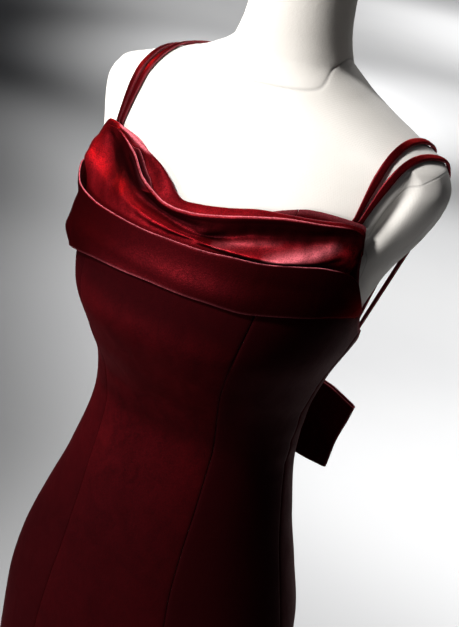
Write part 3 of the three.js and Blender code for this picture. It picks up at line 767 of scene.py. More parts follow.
BAND_CREASES = [
    ([(-84, 1218), (-74, 1221), (-64, 1222), (-54, 1226), (-44, 1230)], 9.0, 4.2),
    ([(-82, 1250), (-72, 1256), (-62, 1257), (-50, 1253)], 9.0, -3.0),
    ([(-62, 1258), (-36, 1246), (-8, 1249), (30, 1256)], 11.0, -0.7),
    ([(-50, 1232), (-22, 1240), (12, 1242), (34, 1246)], 8.0, 0.8),
    ([(26, 1262), (40, 1262), (54, 1264)], 6.0, -0.5),
    ([(-84, 1216), (-74, 1228), (-66, 1246)], 4.0, -0.8),
    ([(56, 1268), (64, 1256), (72, 1246)], 3.5, -0.6),
]
read_band = columns(BAND_STATIONS, BAND_ROWS)
print("band stations:", len(BAND_ROWS), " creases:", len(BAND_CREASES))

# %% Wrap the band
BAND_COLS = 300
BAND_WALL = 1.0
BAND_FOLD_DEPTH = 2.4  # front to back, over the fold
BAND_TUCK = 9  # how far the cloth goes down behind the fold
BAND_BACK_OUT = 0.7  # the nearest that its hidden layer comes to the panels
# The band's nap tone, held very low as painted shade, so the band stays dark.
BAND_NAP_AND_SHADE = 0.06
BRIGHTEST_ROLL = 75  # degrees over the fold, from its front, where the painted highlight is brightest


def wrap_band():
    turns = np.linspace(BAND_ROWS[0][0], BAND_ROWS[-1][0], BAND_COLS)
    top_z, top_out, bottom_z, bottom_out = (curve(turns)[None, :] for curve in read_band.values())
    radius = BAND_FOLD_DEPTH / 2
    fold_foot_z = top_z - radius
    share = spaced((0, 36), (0.9, 12), end=1)[:-1, None]
    z = mix(bottom_z, fold_foot_z, share)
    out = mix(bottom_out, top_out, share)
    turn = np.broadcast_to(turns, z.shape)
    inside = smooth_step(share, 0, 0.12) * smooth_step(-share, -0.98, -0.85)
    for line, width, rise in BAND_CREASES:
        out = out + inside * crease(turn, z, line, width, rise)
    roll = np.linspace(0, 180, 9)[:, None]
    fold_z = fold_foot_z + radius * np.sin(np.radians(roll))
    fold_out = top_out - radius + radius * np.cos(np.radians(roll))
    tuck = np.linspace(0.15, 1, 7)[:, None]
    tuck_z = fold_foot_z - BAND_TUCK * tuck
    behind = (tuck_z - bottom_z) / (fold_foot_z - bottom_z)
    tuck_out = mix(bottom_out, top_out, behind) - BAND_FOLD_DEPTH - 0.3 * tuck
    from_crest = np.concatenate([np.full(share.shape, np.inf), (roll - BRIGHTEST_ROLL) / 20,
                                 np.full(tuck.shape, np.inf)])
    z = np.concatenate([z, fold_z, tuck_z])
    out = np.concatenate([out, fold_out, np.maximum(tuck_out, BAND_BACK_OUT)])
    fade = smooth_step(turns, -84, -74) * smooth_step(-turns, -53, -43)
    # Painted highlight along the crest of the fold, fading towards its ends, and a faint one along
    # the lower edge.
    fold = np.maximum(bell(from_crest, 1.0) * fade, 0.10 * bell(z - bottom_z, 0.9))
    points = dress_at(z, np.broadcast_to(turns, z.shape), out)
    return cloth("velvet_band", points, fold, BAND_NAP_AND_SHADE, wall_mm=BAND_WALL)


band = wrap_band()
print("band:", triangles(band), "triangles")

# %% [markdown]
# ## The straps
#
# Each strap is a narrow velvet tube pressed flat. It is taut: from the corner of the
# neckline it runs straight until it meets the shoulder, lies over the shoulder, and leaves it
# straight again for the back. That is the path of a string pulled tight over a bump, so it is
# worked out the same way: look at the form in the plane of the strap, take the points where a
# strap would touch, and keep only those that a tight string would rest on. A curve drawn by
# eye would either float or sink in. Both ends narrow and slip behind the edge of the bodice,
# where they would be sewn.

# %% Where a tight strap lies
STRAP_WIDTH = 7
STRAP_THICKNESS = 3
STRAP_REST_GAP = 0.9
CREST_Z = 1395  # a point over the shoulder that says which way the strap goes
STRAPS = {  # name: side, x where it crosses the shoulder, turn at its front end, at its back end
    "strap_left_inner": (1, 135, 47.0, 119),
    "strap_left_outer": (1, 154, 49.1, 113),
    "strap_right_inner": (-1, 107, 43.6, 119),
    "strap_right_outer": (-1, 121, 46.0, 114),
}


def unit(v):
    return v / np.linalg.norm(v, axis=-1, keepdims=True)


def taut_line(start, crest, end):
    """The way of a tight string from start to end, over the form on the side of the crest."""
    along = unit(end - start)
    middle = (start + end) / 2
    to_crest = crest - middle
    rise = unit(to_crest - along * (to_crest @ along))
    reach = np.arange(40, 330, 0.25)
    touch = []
    for angle in np.radians(np.arange(178.5, 0, -1.5)):
        ray = along * np.cos(angle) + rise * np.sin(angle)
        gap, _ = form_distance(middle + reach[:, None] * ray)
        inside = np.nonzero(gap < STRAP_REST_GAP + STRAP_THICKNESS / 2)[0]
        if len(inside):
            touch.append(reach[inside[-1]] * np.array([np.cos(angle), np.sin(angle)]))
    half = np.linalg.norm(end - start) / 2
    chain = [np.array([-half, 0.0])]
    for p in touch + [np.array([half, 0.0])]:
        while len(chain) > 1:
            a, b = chain[-2:]
            if (b[0] - a[0]) * (p[1] - a[1]) - (b[1] - a[1]) * (p[0] - a[0]) <= 0:
                break
            chain.pop()  # b is in a dip that a tight string would pass over
        chain.append(p)
    return np.array([middle + along * x + rise * y for x, y in chain])


def even_steps(line, step):
    """The same line with points an even step apart, and its corners softened."""
    total = np.concatenate([[0], np.cumsum(np.linalg.norm(np.diff(line, axis=0), axis=1))])
    s = np.linspace(0, total[-1], int(total[-1] / step))
    line = np.stack([np.interp(s, total, line[:, k]) for k in range(3)], axis=1)
    for _ in range(24):
        line[1:-1] = (line[:-2] + 2 * line[1:-1] + line[2:]) / 4
    return line


print("straps:", len(STRAPS))

# %% A flat tube
STRAP_SIDES = 20
STRAP_WALL = 0.45
SQUARENESS = 0.72  # 1 is an ellipse, and less is squarer


def signed_power(value, power):
    return np.sign(value) * np.abs(value) ** power


def thicken_tube(piece, wall_mm):
    """Gives a tube of cloth its inner face, and makes sure that its faces point outwards."""
    only(piece)
    bpy.ops.object.mode_set(mode="EDIT")
    bpy.ops.mesh.select_all(action="SELECT")
    bpy.ops.mesh.normals_make_consistent(inside=False)
    bpy.ops.object.mode_set(mode="OBJECT")
    add_wall(piece, wall_mm)
    apply_modifiers(piece)
    bpy.ops.object.shade_smooth()


def flat_tube(line, half_width, half_depth):
    """Rings of points round a line, wide across the form and shallow off it."""
    _, outward = form_distance(line)
    ahead = unit(np.gradient(line, axis=0))
    across = unit(np.cross(outward, ahead))
    outward = np.cross(ahead, across)
    angle = np.linspace(0, 2 * np.pi, STRAP_SIDES, endpoint=False)
    x, y = signed_power(np.cos(angle), SQUARENESS), signed_power(np.sin(angle), SQUARENESS)
    y = y * (1 - 0.16 * bell(x, 0.45))  # pressed flat, so it is a little hollow in the middle
    return (line[:, None] + across[:, None] * (x * half_width[:, None])[..., None]
            + outward[:, None] * (y * half_depth[:, None])[..., None]), x


print("a strap has", STRAP_SIDES, "columns round it")

# %% Sew the straps
STRAP_SET_IN = 1.3  # from the dress's outer face in to the middle of a strap's end
STRAP_TUCK = 7.0  # how far an end goes down behind the neckline
STRAP_HIDDEN_OUT = -(WALL + OUTER) / 2  # between the dress's inner face and the form
TUCKED_DEPTH = 0.36
FRONT_END_WIDTH = 0.62
STRAP_NAP = {1: 0.3, -1: 0.18}


def make_strap(name, side, crest_x, start_turn, end_turn):
    def corner(turn, drop, out):
        return dress_at(top_edge(turn) - drop, side * turn, out)

    start, end = corner(start_turn, -1.0, -STRAP_SET_IN), corner(end_turn, -1.6, -STRAP_SET_IN)
    line = even_steps(taut_line(start, np.array([side * crest_x, 0.0, CREST_Z]), end), 1.6)
    length = np.linalg.norm(np.diff(line, axis=0), axis=1).sum()
    front_tuck, back_tuck = ([corner(turn, drop, STRAP_HIDDEN_OUT) for drop in (STRAP_TUCK, 2.5)]
                             for turn in (start_turn, end_turn))
    line = np.concatenate([front_tuck, line[1:-1], back_tuck[::-1]])
    s = np.arange(len(line))
    half_width = STRAP_WIDTH / 2 * (1 + 0.02 * np.sin(s * 0.31) + 0.015 * np.sin(s * 0.113 + 2))
    half_width = half_width * mix(FRONT_END_WIDTH, 1.0, smooth_step(s, 3, 26))
    half_depth = np.full(len(line), STRAP_THICKNESS / 2)
    half_depth[[0, 1, -2, -1]] *= TUCKED_DEPTH
    rings, x = flat_tube(line, half_width, half_depth)
    size = rings.shape[:2]
    # A painted highlight along both edges of the strap.
    piece = plain_mesh("velvet_" + name, rings, grid_faces(*size, closed=True),
                       fold=np.broadcast_to(0.35 * bell(np.abs(x) - 1.0, 0.10), size),
                       nap=np.full(size, STRAP_NAP[side]))
    thicken_tube(piece, STRAP_WALL)
    return piece, length


straps = {}
for name, where in STRAPS.items():
    straps[name], strap_length = make_strap(name, *where)
    print(name, round(strap_length), "mm between its seams")

# %% [markdown]
# ## The bow
#
# The bow on the low back is a strip of velvet folded into two flat loops, gathered in the
# middle under a knot. Each loop goes out as the layer next to the dress, turns over at its end
# and comes back as the outer layer, so it is one grid that bends right round. Close to the
# knot the cloth is drawn together, which shows as a fan of small pleats that die out before
# the end.

# %% Fold the loops
BOW_Z = 1058
BOW_HALF_LENGTH = 117
BOW_LAYER_GAP = 5
LOOP_WALL = 1.6
LOOP_STEPS = 74  # columns of one layer, from the knot to the end
LOOP_HEIGHT_ROWS = 46
LOOP_NAP = 0.22
LOOP_ROWS = [  # x, top, bottom, y of its middle
    (13.5, 23, -23, 91), (25, 28, -27, 92), (40, 38, -36, 94),
    (62, 44, -43, 96), (85, 42, -45, 97), (117, 29, -47, 99),
]
read_loop = columns("x top bottom y", LOOP_ROWS)
LOOP_INNER = LOOP_ROWS[0][0]


def loop_middle():
    """The strip's way out and back, seen from above: x and layer from -1 to 1."""
    bend = (BOW_LAYER_GAP + LOOP_WALL) / 2
    straight = BOW_HALF_LENGTH - bend - LOOP_WALL / 2
    out_way = np.linspace(LOOP_INNER, straight, LOOP_STEPS, endpoint=False)
    turn_over = np.linspace(0, np.pi, 22)
    x = np.concatenate([out_way, straight + bend * np.sin(turn_over), out_way[::-1]])
    one_layer = np.ones(LOOP_STEPS)
    return x, np.concatenate([-one_layer, -np.cos(turn_over), one_layer])


def make_loop(name, side, lean):
    """One loop. Side is 1 for the wearer's left, and lean makes the two unlike."""
    x, layer = loop_middle()
    share = np.linspace(0, 1, LOOP_HEIGHT_ROWS)[:, None]
    apart = mix(0.35, 1.0, np.clip((x - LOOP_INNER) / 40, 0, 1))
    gathered = smooth_step(-x, -78, -18)
    pleats = (np.cos(2 * np.pi * (share * 4.1 + lean))
              + 0.5 * np.cos(2 * np.pi * (share * 6.7 + 2 * lean)))
    dip = gathered * 2.1 * pleats * smooth_step(share * (1 - share), 0, 0.05)
    slack = (0.8 * np.sin(x / 19 + share * 5 + 3 * lean)
             * smooth_step(x, 40, 80) * smooth_step(-x, -112, -95))
    y = read_loop["y"](x) + layer * (BOW_LAYER_GAP + LOOP_WALL) / 2 * apart + dip + slack
    lifted = 1.2 * (1 - gathered) * np.sin(x / 31 + 4 * lean) * smooth_step(-x, -114, -80)
    z = BOW_Z + mix(read_loop["bottom"](x), read_loop["top"](x), share) + lifted
    reach = mix(-3, 8, share) - 2.4 * bell(share - 0.42, 0.3)  # the end is cut on a slant
    skewed = LOOP_INNER + (x - LOOP_INNER) * (1 + reach / (BOW_HALF_LENGTH - LOOP_INNER))
    points = np.stack([side * skewed, y, z], axis=-1)
    from_edge = np.minimum(share, 1 - share) * 80
    # A painted highlight along the loop's top and bottom edges and its turned end.
    fold = 0.14 * np.maximum(bell(from_edge, 0.9), bell(x - BOW_HALF_LENGTH + 1, 1.0))
    if side < 0:  # a mirrored grid is turned round, so that its faces still point outwards
        points, fold = points[:, ::-1], fold[:, ::-1]
    return cloth(name, points, fold, LOOP_NAP, wall_mm=LOOP_WALL, round_mm=0.5)


bow = {
    "bow_loop_left": make_loop("velvet_bow_loop_left", 1, 0.10),
    "bow_loop_right": make_loop("velvet_bow_loop_right", -1, 0.37),
}
print("loops:", triangles(bow["bow_loop_left"]), "triangles each")

# %% Wrap the knot
KNOT_HALF_WIDTH = 15
KNOT_HEIGHT = 58
KNOT_DEPTH = 26
KNOT_SEAT = 1.0
KNOT_RING = 96
KNOT_COLS = 40
KNOT_WALL = 1.2
KNOT_NAP = 0.3


def make_knot():
    """A short wide tube lying across the bow: the strip goes up in front and down behind."""
    across = np.linspace(-1, 1, KNOT_COLS)[:, None]
    angle = np.linspace(0, 2 * np.pi, KNOT_RING, endpoint=False)[None, :]
    rise, front = signed_power(np.sin(angle), 0.72), signed_power(np.cos(angle), 0.62)
    narrow = 1 - 0.06 * across**2 - 0.05 * across**8
    z = BOW_Z + KNOT_HEIGHT / 2 * rise * narrow
    seat = dress_at(z, 180.0)[..., 1] + KNOT_SEAT
    outside = smooth_step(front, -0.4, 0.5)
    pleats = (0.9 * np.cos(7.4 * across + 0.5 * rise + 0.4)
              + 0.5 * np.cos(13.3 * across - 0.7 * rise))
    x = KNOT_HALF_WIDTH * across * (1 - 0.07 * outside * (1 - rise**2))
    y = seat + 0.3 + (KNOT_DEPTH - 2.2) / 2 * (1 + front * narrow) + pleats * outside
    points = np.stack([np.broadcast_to(x, y.shape), y, z], axis=-1)
    # A painted highlight along the knot's two edges and on the crests of its pleats.
    edge = np.broadcast_to(0.3 * bell((1 - np.abs(across)) * KNOT_HALF_WIDTH, 1.0), y.shape)
    fold = np.maximum(edge, 0.22 * np.clip(pleats - 0.5, 0, 1) * outside)
    piece = plain_mesh("velvet_bow_knot", points, grid_faces(KNOT_COLS, KNOT_RING, closed=True),
                       fold=fold, nap=np.full(y.shape, KNOT_NAP))
    thicken_tube(piece, KNOT_WALL)
    return piece


bow["bow_knot"] = make_knot()
print("knot:", triangles(bow["bow_knot"]), "triangles")

# %% [markdown]
# ## The dress form
#
# The form is a smooth torso with no head, arms or legs, covered in close jersey. Its cover is
# sewn from pieces, so it has a seam round the base of the neck and one round each arm cap.
# The surface is the same set of sections that the dress was built on, only finer. The seams of
# the neck and the back are grooves under a millimetre deep: the points near a seam line are
# moved straight in. So are those of the shallow hollow before each arm and the one under it.
# The arm's seam has no groove: the cover's material draws it, because it crosses the grid.

# %% The torso and the seams of its cover
FORM_RING = 300
NECK_SEAM = columns("turn z", [
    (0, 1405), (40, 1413), (75, 1432), (100, 1437), (140, 1425), (180, 1418)])["z"]
ARM_HOLLOW = [(56, 1285), (58.5, 1310), (59.5, 1335), (61, 1355), (67, 1372)]  # turn, z
ARM_HOLLOW_DEPTH = 5.5
UNDER_ARM_DEPTH = 9.5
UNDER_ARM_TURN = 97
MM_PER_DEGREE_BEHIND = 1.7
NECK_BRIM = ((0.985, 1.6), (0.955, 2.6), (0.91, 3.0), (0.5, 3.0))  # share of its size, rise


def torso_hollows(z, turn):
    """How far in the cover's seams and the form's hollows go, and how dark the seams look."""
    side_turn = np.abs(turn)
    from_neck_seam = z - NECK_SEAM(side_turn)
    from_back_seam = (180 - side_turn) * MM_PER_DEGREE_BEHIND
    under_arm = bell(side_turn - UNDER_ARM_TURN, 25) * (
        smooth_step(z, 1190, 1222) * smooth_step(-z, -1330, -1245))
    depth = (0.7 * bell(from_neck_seam, 0.8) + 0.25 * bell(from_neck_seam, 3.0)
             + 0.45 * bell(from_back_seam, 0.9) + UNDER_ARM_DEPTH * under_arm
             + ARM_HOLLOW_DEPTH * crease(side_turn, z, ARM_HOLLOW, 8.5, 1.0))
    return depth, np.maximum(bell(from_neck_seam, 0.9), 0.8 * bell(from_back_seam, 1.0))


def make_torso():
    heights = spaced((FORM_BOTTOM_Z, 24), (1150, 24), (1240, 60), (1350, 90), (1440, 39),
                     end=FORM_TOP_Z - 3)
    turns = np.linspace(-180, 180, FORM_RING, endpoint=False)
    z, turn = np.meshgrid(heights, turns, indexing="ij")
    depth, seam = torso_hollows(z, turn)
    points = form_at(z, turn)
    _, outward = form_distance(points)
    points = points - outward * depth[..., None]
    brim = points[-1]
    centre = brim.mean(axis=0)
    rounded = [mix(centre, brim, share) + (0, 0, rise) for share, rise in NECK_BRIM]
    points = np.concatenate([points, rounded])
    seam = np.concatenate([seam, np.zeros((len(rounded), FORM_RING))])
    last = (len(points) - 1) * FORM_RING
    faces = grid_faces(len(points), FORM_RING, closed=True)
    faces += [tuple(reversed(range(FORM_RING))), tuple(last + i for i in range(FORM_RING))]
    piece = plain_mesh("jersey_torso", points, faces, seam=seam)
    only(piece)
    bpy.ops.object.shade_smooth_by_angle(angle=math.radians(50))
    return piece


torso = make_torso()
print("torso:", triangles(torso), "triangles")

# %% [markdown]
# ## The stand
#
# A dress form stands on a steel pole in a heavy round base. Both are turned parts. The base is
# a cylinder whose top face is inset and raised, first to a shallow cone and then to a collar
# round the pole, and its rims are bevelled. Shaping a primitive this way keeps the rings of
# edges round and even, which a turned part needs.

# %% Turn the base
BASE_RADIUS = 165
BASE_RIM_HEIGHT = 11
# How far in and how far up each ring of the base is from the one before: a lip, the shallow
# cone, the collar's side, its rounded shoulder and its mouth
BASE_STEPS = ((6, 0.6), (127, 3.4), (5, 10.5), (3, 2.5), (9.5, 0))


def top_face(piece):
    """Selects only the highest face, for the next operator."""
    bpy.ops.mesh.select_all(action="DESELECT")
    shape = bmesh.from_edit_mesh(piece.data)
    shape.faces.ensure_lookup_table()
    max(shape.faces, key=lambda face: face.calc_center_median().z).select_set(True)
    shape.select_flush_mode()
    bmesh.update_edit_mesh(piece.data)


def turned_part(name, radius, foot, top, facets):
    """A cylinder in its place, with that place in its mesh and its object at the origin."""
    bpy.ops.object.select_all(action="DESELECT")
    middle = (0, 0, (top + foot) / 2 * MM)
    bpy.ops.mesh.primitive_cylinder_add(vertices=facets, radius=radius * MM,
                                        depth=(top - foot) * MM, location=middle)
    part = bpy.context.object
    part.name = name
    bpy.ops.object.transform_apply(location=True, rotation=True, scale=True)
    return part


def round_rims(part, width_mm, sharper_than, segments):
    round_edges(part, width_mm, sharper_than, segments)
    apply_modifiers(part)
    bpy.ops.object.shade_smooth_by_angle(angle=math.radians(40))


base = turned_part("painted_base", BASE_RADIUS, 0, BASE_RIM_HEIGHT, 160)
bpy.ops.object.mode_set(mode="EDIT")
bpy.ops.mesh.select_mode(type="FACE")
for inset, lift in BASE_STEPS:
    top_face(base)
    bpy.ops.mesh.inset(thickness=inset * MM, depth=0)
    bpy.ops.transform.translate(value=(0, 0, lift * MM))
bpy.ops.object.mode_set(mode="OBJECT")
round_rims(base, 2.2, 24, 4)
print("base:", triangles(base), "triangles")

# %% Turn the pole
POLE_RADIUS = 14
POLE_FOOT_Z = 28.3
POLE_TOP_Z = 799.7

pole = turned_part("steel_pole", POLE_RADIUS, POLE_FOOT_Z, POLE_TOP_Z, 72)
round_rims(pole, 0.8, 60, 3)
print("pole:", triangles(pole), "triangles")

# %% [markdown]
# ## Materials
#
# A material here is a small graph of nodes. Patterns are read from Object coordinates, which
# are in metres, so a noise of scale 1000 has grains a millimetre wide. Nothing is painted on
# by hand.
#
# Velvet is the hard one. Its pile swallows light that comes straight on and throws some back
# where it is bent open, so a flat area is dark and every fold has a bright rim. Its colour is
# blended from a red that is nearly black and a brighter one. Three things set the blend: how the
# pile lies, from noise; which way the cloth faces, as painted light that is lighter towards the
# key light; and the number on the mesh that holds the nap's tone with its painted light and shade.
# Where the mesh's highlight number is high, the colour goes on to a pale rim, a painted highlight
# on folds, edges and ridges. The Metallic input gives the lustre, because it tints what the cloth
# throws back with the cloth's own red, and a trace of sheen softens it. Brushed patches and a
# grain of single tufts come from noise at three sizes.


# %% Helpers for node graphs
MIX_COLOUR_SOCKETS = (0, 6, 7)  # of a Mix node for colours: its share, and its two colours


def new_material(name):
    """An empty material: itself, its node tree, its shader, and the place on the piece."""
    made = bpy.data.materials.new(name)
    made.use_nodes = True
    tree = made.node_tree
    tree.nodes.clear()
    output = tree.nodes.new("ShaderNodeOutputMaterial")
    shader = tree.nodes.new("ShaderNodeBsdfPrincipled")
    tree.links.new(shader.outputs["BSDF"], output.inputs["Surface"])
    place = tree.nodes.new("ShaderNodeTexCoord").outputs["Object"]
    return made, tree, shader, place


def plug_in(tree, socket, value):
    """Sets a socket from a number, a colour or another node's output."""
    if isinstance(value, bpy.types.NodeSocket):
        tree.links.new(value, socket)
    else:
        socket.default_value = value


def feed(tree, node, **inputs):
    """Sets the inputs of a node by their names."""
    for key, value in inputs.items():
        plug_in(tree, node.inputs[key.replace("_", " ")], value)


def noise(tree, place, grains_per_metre, detail=2.0, roughness=0.5, stretch=(1, 1, 1), twist=0.0):
    """Random mottling from 0 to 1, with so many grains to the metre."""
    scaled = tree.nodes.new("ShaderNodeMapping")
    feed(tree, scaled, Vector=place, Scale=stretch)
    made = tree.nodes.new("ShaderNodeTexNoise")
    feed(tree, made, Vector=scaled.outputs["Vector"], Scale=float(grains_per_metre), Detail=detail,
         Roughness=roughness, Distortion=twist)
    return made.outputs["Fac"]


def spread(tree, value, low, high, to_low=0.0, to_high=1.0):
    """Stretches the part of a value between low and high to a new range, and clips it."""
    made = tree.nodes.new("ShaderNodeMapRange")
    feed(tree, made, Value=value, From_Min=low, From_Max=high, To_Min=to_low, To_Max=to_high)
    return made.outputs["Result"]


def maths(tree, operation, a, b=0.0):
    """One step of a sum, on numbers or on the outputs of other nodes."""
    made = tree.nodes.new("ShaderNodeMath")
    made.operation = operation
    for socket, value in zip(made.inputs, (a, b)):
        plug_in(tree, socket, value)
    return made.outputs["Value"]


def blend_colours(tree, share, a, b):
    """The first colour where the share is 0, and the second where it is 1."""
    made = tree.nodes.new("ShaderNodeMix")
    made.data_type = "RGBA"
    for index, value in zip(MIX_COLOUR_SOCKETS, (share, a, b)):
        plug_in(tree, made.inputs[index], value)
    return made.outputs[2]


def stored(tree, name):
    """A number that the mesh stores on its points."""
    made = tree.nodes.new("ShaderNodeAttribute")
    made.attribute_name = name
    return made.outputs["Fac"]


def bump(tree, shader, height, distance, strength, over=None):
    """Fine relief, so many metres high, alone or over another bump."""
    made = tree.nodes.new("ShaderNodeBump")
    feed(tree, made, Height=height, Distance=distance, Strength=strength)
    if over is not None:
        tree.links.new(over, made.inputs["Normal"])
    tree.links.new(made.outputs["Normal"], shader.inputs["Normal"])
    return made.outputs["Normal"]


print("node helpers: feed, noise, spread, maths, blend_colours, stored, bump")

# %% Velvet
VELVET_DEEP = (0.010, 0.0008, 0.0012, 1)
VELVET_RED = (0.42, 0.0110, 0.0180, 1)
# the pale colour that the painted highlight goes to
VELVET_PAINTED_HIGHLIGHT = (0.88, 0.20, 0.24, 1)
PAINTED_LIGHTER_FACING = (-0.30, -0.15, 0.94)  # cloth that faces this way, up and towards the key light, is painted lighter


def make_velvet(name, lustre, roughness, grain):
    """Burgundy velvet. Lustre is how much light its fibres throw back in their own red."""
    made, tree, shader, place = new_material(name)
    clouds = noise(tree, place, 8, 2.0)
    brushed = noise(tree, place, 52, 4.0, 0.6, (1.0, 1.0, 0.7), 0.8)
    tufts = noise(tree, place, 900, 2.0, 0.6)
    rest = (1 - grain) / 2
    lay = maths(tree, "ADD", maths(tree, "MULTIPLY", spread(tree, clouds, 0.3, 0.7), rest),
                maths(tree, "MULTIPLY", spread(tree, brushed, 0.3, 0.7), rest))
    lay = maths(tree, "ADD", lay, maths(tree, "MULTIPLY", spread(tree, tufts, 0.36, 0.64), grain))
    facing = tree.nodes.new("ShaderNodeVectorMath")
    facing.operation = "DOT_PRODUCT"
    normal = tree.nodes.new("ShaderNodeNewGeometry").outputs["Normal"]
    for socket, value in zip(facing.inputs, (normal, PAINTED_LIGHTER_FACING)):
        plug_in(tree, socket, value)
    # Painted light: cloth that faces up and towards the wearer's right, where the key light
    # stands, is lighter, and cloth turned from it is darker.
    lit_by_facing = spread(tree, facing.outputs["Value"], -0.25, 0.75, 0.30, 1.30)
    light = maths(tree, "MULTIPLY", maths(tree, "MULTIPLY", lay, lit_by_facing), stored(tree, "nap"))
    # Painted highlight: the mesh's highlight number, broken up by the brushed patches and the
    # tufts, takes the colour to the pale rim and the lustre away.
    fold = maths(tree, "MULTIPLY", stored(tree, "fold"),
                 spread(tree, brushed, 0.25, 0.6, 0.55, 1.0))
    fold = maths(tree, "MULTIPLY", fold, spread(tree, tufts, 0.34, 0.60, 0.55, 1.10))
    colour = blend_colours(tree, light, VELVET_DEEP, VELVET_RED)
    colour = blend_colours(tree, fold, colour, VELVET_PAINTED_HIGHLIGHT)
    low, high = roughness
    feed(tree, shader, Base_Color=colour, Metallic=spread(tree, fold, 0.0, 0.8, lustre, 0.0),
         Roughness=spread(tree, lay, 0.2, 0.8, high, low),
         Specular_IOR_Level=0.01, Specular_Tint=(0.9, 0.10, 0.14, 1),
         Sheen_Weight=0.015, Sheen_Roughness=0.25, Sheen_Tint=(1.0, 0.10, 0.15, 1))
    soft = bump(tree, shader, brushed, 0.0012, 0.25)
    bump(tree, shader, tufts, 0.0004, 0.45, soft)
    return made


velvet = make_velvet("burgundy_velvet", 0.10, (0.50, 0.62), 0.34)
velvet_lustre = make_velvet("burgundy_velvet_smoothed", 0.75, (0.38, 0.52), 0.40)
print("velvet:", len(velvet.node_tree.nodes), "nodes")

# %% [markdown]
# The form's cover is white cotton jersey. Close to, jersey is rows of small stitches, finer
# up and down than across. Two sine waves at right angles, one up the form and one round it,
# give that: far apart they melt into a matt white, and near they read as knit. The seam round
# each arm cap is drawn here too. It is where a squared ellipse on the side of the form, given
# by its middle and its two reaches, is one reach away. Paint and brushed steel are simpler:
# the first has a faint orange peel, the second has fine rings, because a pole is polished
# while it turns.


# %% Jersey with its arm seam
ARM_MIDDLE = (0.010, 1.290)  # y and z, in metres
ARM_REACH = (0.056, 0.082)
ARM_SQUARENESS = 2.6
WALES_ROUND = 640.0
COURSES_UP = 5200.0


def arm_seam(tree, x, y, z):
    """1 along the seam round each arm cap, and 0 away from it."""
    parts = []
    for value, middle, reach in zip((y, z), ARM_MIDDLE, ARM_REACH):
        away = maths(tree, "ABSOLUTE", maths(tree, "SUBTRACT", value, middle))
        parts.append(maths(tree, "POWER", maths(tree, "DIVIDE", away, reach), ARM_SQUARENESS))
    reaches = maths(tree, "POWER", maths(tree, "ADD", *parts), 1 / ARM_SQUARENESS)
    from_seam = maths(tree, "ABSOLUTE", maths(tree, "SUBTRACT", reaches, 1.0))
    on_side = spread(tree, maths(tree, "ABSOLUTE", x), 0.09, 0.10)
    return maths(tree, "MULTIPLY", spread(tree, from_seam, 0.003, 0.011, 0.8, 0.0), on_side)


def make_jersey():
    made, tree, shader, place = new_material("white_jersey")
    split = tree.nodes.new("ShaderNodeSeparateXYZ")
    tree.links.new(place, split.inputs["Vector"])
    x, y, z = split.outputs
    around = maths(tree, "ARCTAN2", x, y)
    wales = maths(tree, "SINE", maths(tree, "MULTIPLY", around, WALES_ROUND))
    courses = maths(tree, "SINE", maths(tree, "MULTIPLY", z, COURSES_UP))
    knit = maths(tree, "ADD", wales, courses)
    slub = noise(tree, place, 420, 3.0, 0.6)
    worn = noise(tree, place, 9, 3.0)
    plate = arm_seam(tree, x, y, z)
    seam = maths(tree, "MAXIMUM", stored(tree, "seam"), plate)
    tone = blend_colours(tree, spread(tree, worn, 0.35, 0.65),
                         (0.65, 0.612, 0.56, 1), (0.74, 0.70, 0.648, 1))
    tone = blend_colours(tree, spread(tree, knit, -2.0, 0.6, 0.05, 0.0), tone,
                         (0.42, 0.41, 0.40, 1))
    tone = blend_colours(tree, maths(tree, "MULTIPLY", seam, 0.45), tone, (0.30, 0.28, 0.27, 1))
    feed(tree, shader, Base_Color=tone, Roughness=spread(tree, slub, 0.3, 0.7, 0.78, 0.92),
         Specular_IOR_Level=0.3, Sheen_Weight=0.12)
    soft = bump(tree, shader, slub, 0.0004, 0.4)
    knitted = bump(tree, shader, knit, 0.00006, 0.30, soft)
    bump(tree, shader, maths(tree, "SUBTRACT", 1.0, plate), 0.0004, 0.5, knitted)
    return made


jersey = make_jersey()
print("jersey:", len(jersey.node_tree.nodes), "nodes")


# %% Paint and steel
def make_paint():
    made, tree, shader, place = new_material("satin_white_paint")
    peel = noise(tree, place, 700, 1.0)
    dust = noise(tree, place, 16, 4.0, 0.6)
    tone = blend_colours(tree, spread(tree, dust, 0.35, 0.7),
                         (0.72, 0.71, 0.69, 1), (0.80, 0.79, 0.78, 1))
    feed(tree, shader, Base_Color=tone, Roughness=spread(tree, dust, 0.3, 0.7, 0.34, 0.46))
    bump(tree, shader, peel, 0.0002, 0.25)
    return made


def make_steel():
    made, tree, shader, place = new_material("brushed_steel")
    rings = noise(tree, place, 60, 3.0, 0.6, (1, 1, 40))
    tone = blend_colours(tree, spread(tree, rings, 0.3, 0.7),
                         (0.50, 0.50, 0.51, 1), (0.64, 0.64, 0.65, 1))
    feed(tree, shader, Base_Color=tone, Metallic=1.0,
         Roughness=spread(tree, rings, 0.3, 0.7, 0.24, 0.38))
    bump(tree, shader, rings, 0.0001, 0.3)
    return made


paint, steel = make_paint(), make_steel()
print("materials:", [m.name for m in (velvet, velvet_lustre, jersey, paint, steel)])

# %% [markdown]
# ## What rides on what
#
# Nothing in a dress form moves, so every piece rides on the frame's one body. Each piece
# takes the place of one solid of the frame, and that solid is hidden. Then its solid is
# hidden and still serves for collisions.
#
# The cowl, the band and the straps are cut from the same velvet as the panels, but they are
# brushed smooth by handling, so theirs has more lustre.

def dress_piece(piece, node, finish):
    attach(piece, "root")
    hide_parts(node)
    piece.data.materials.clear()
    piece.data.materials.append(finish)


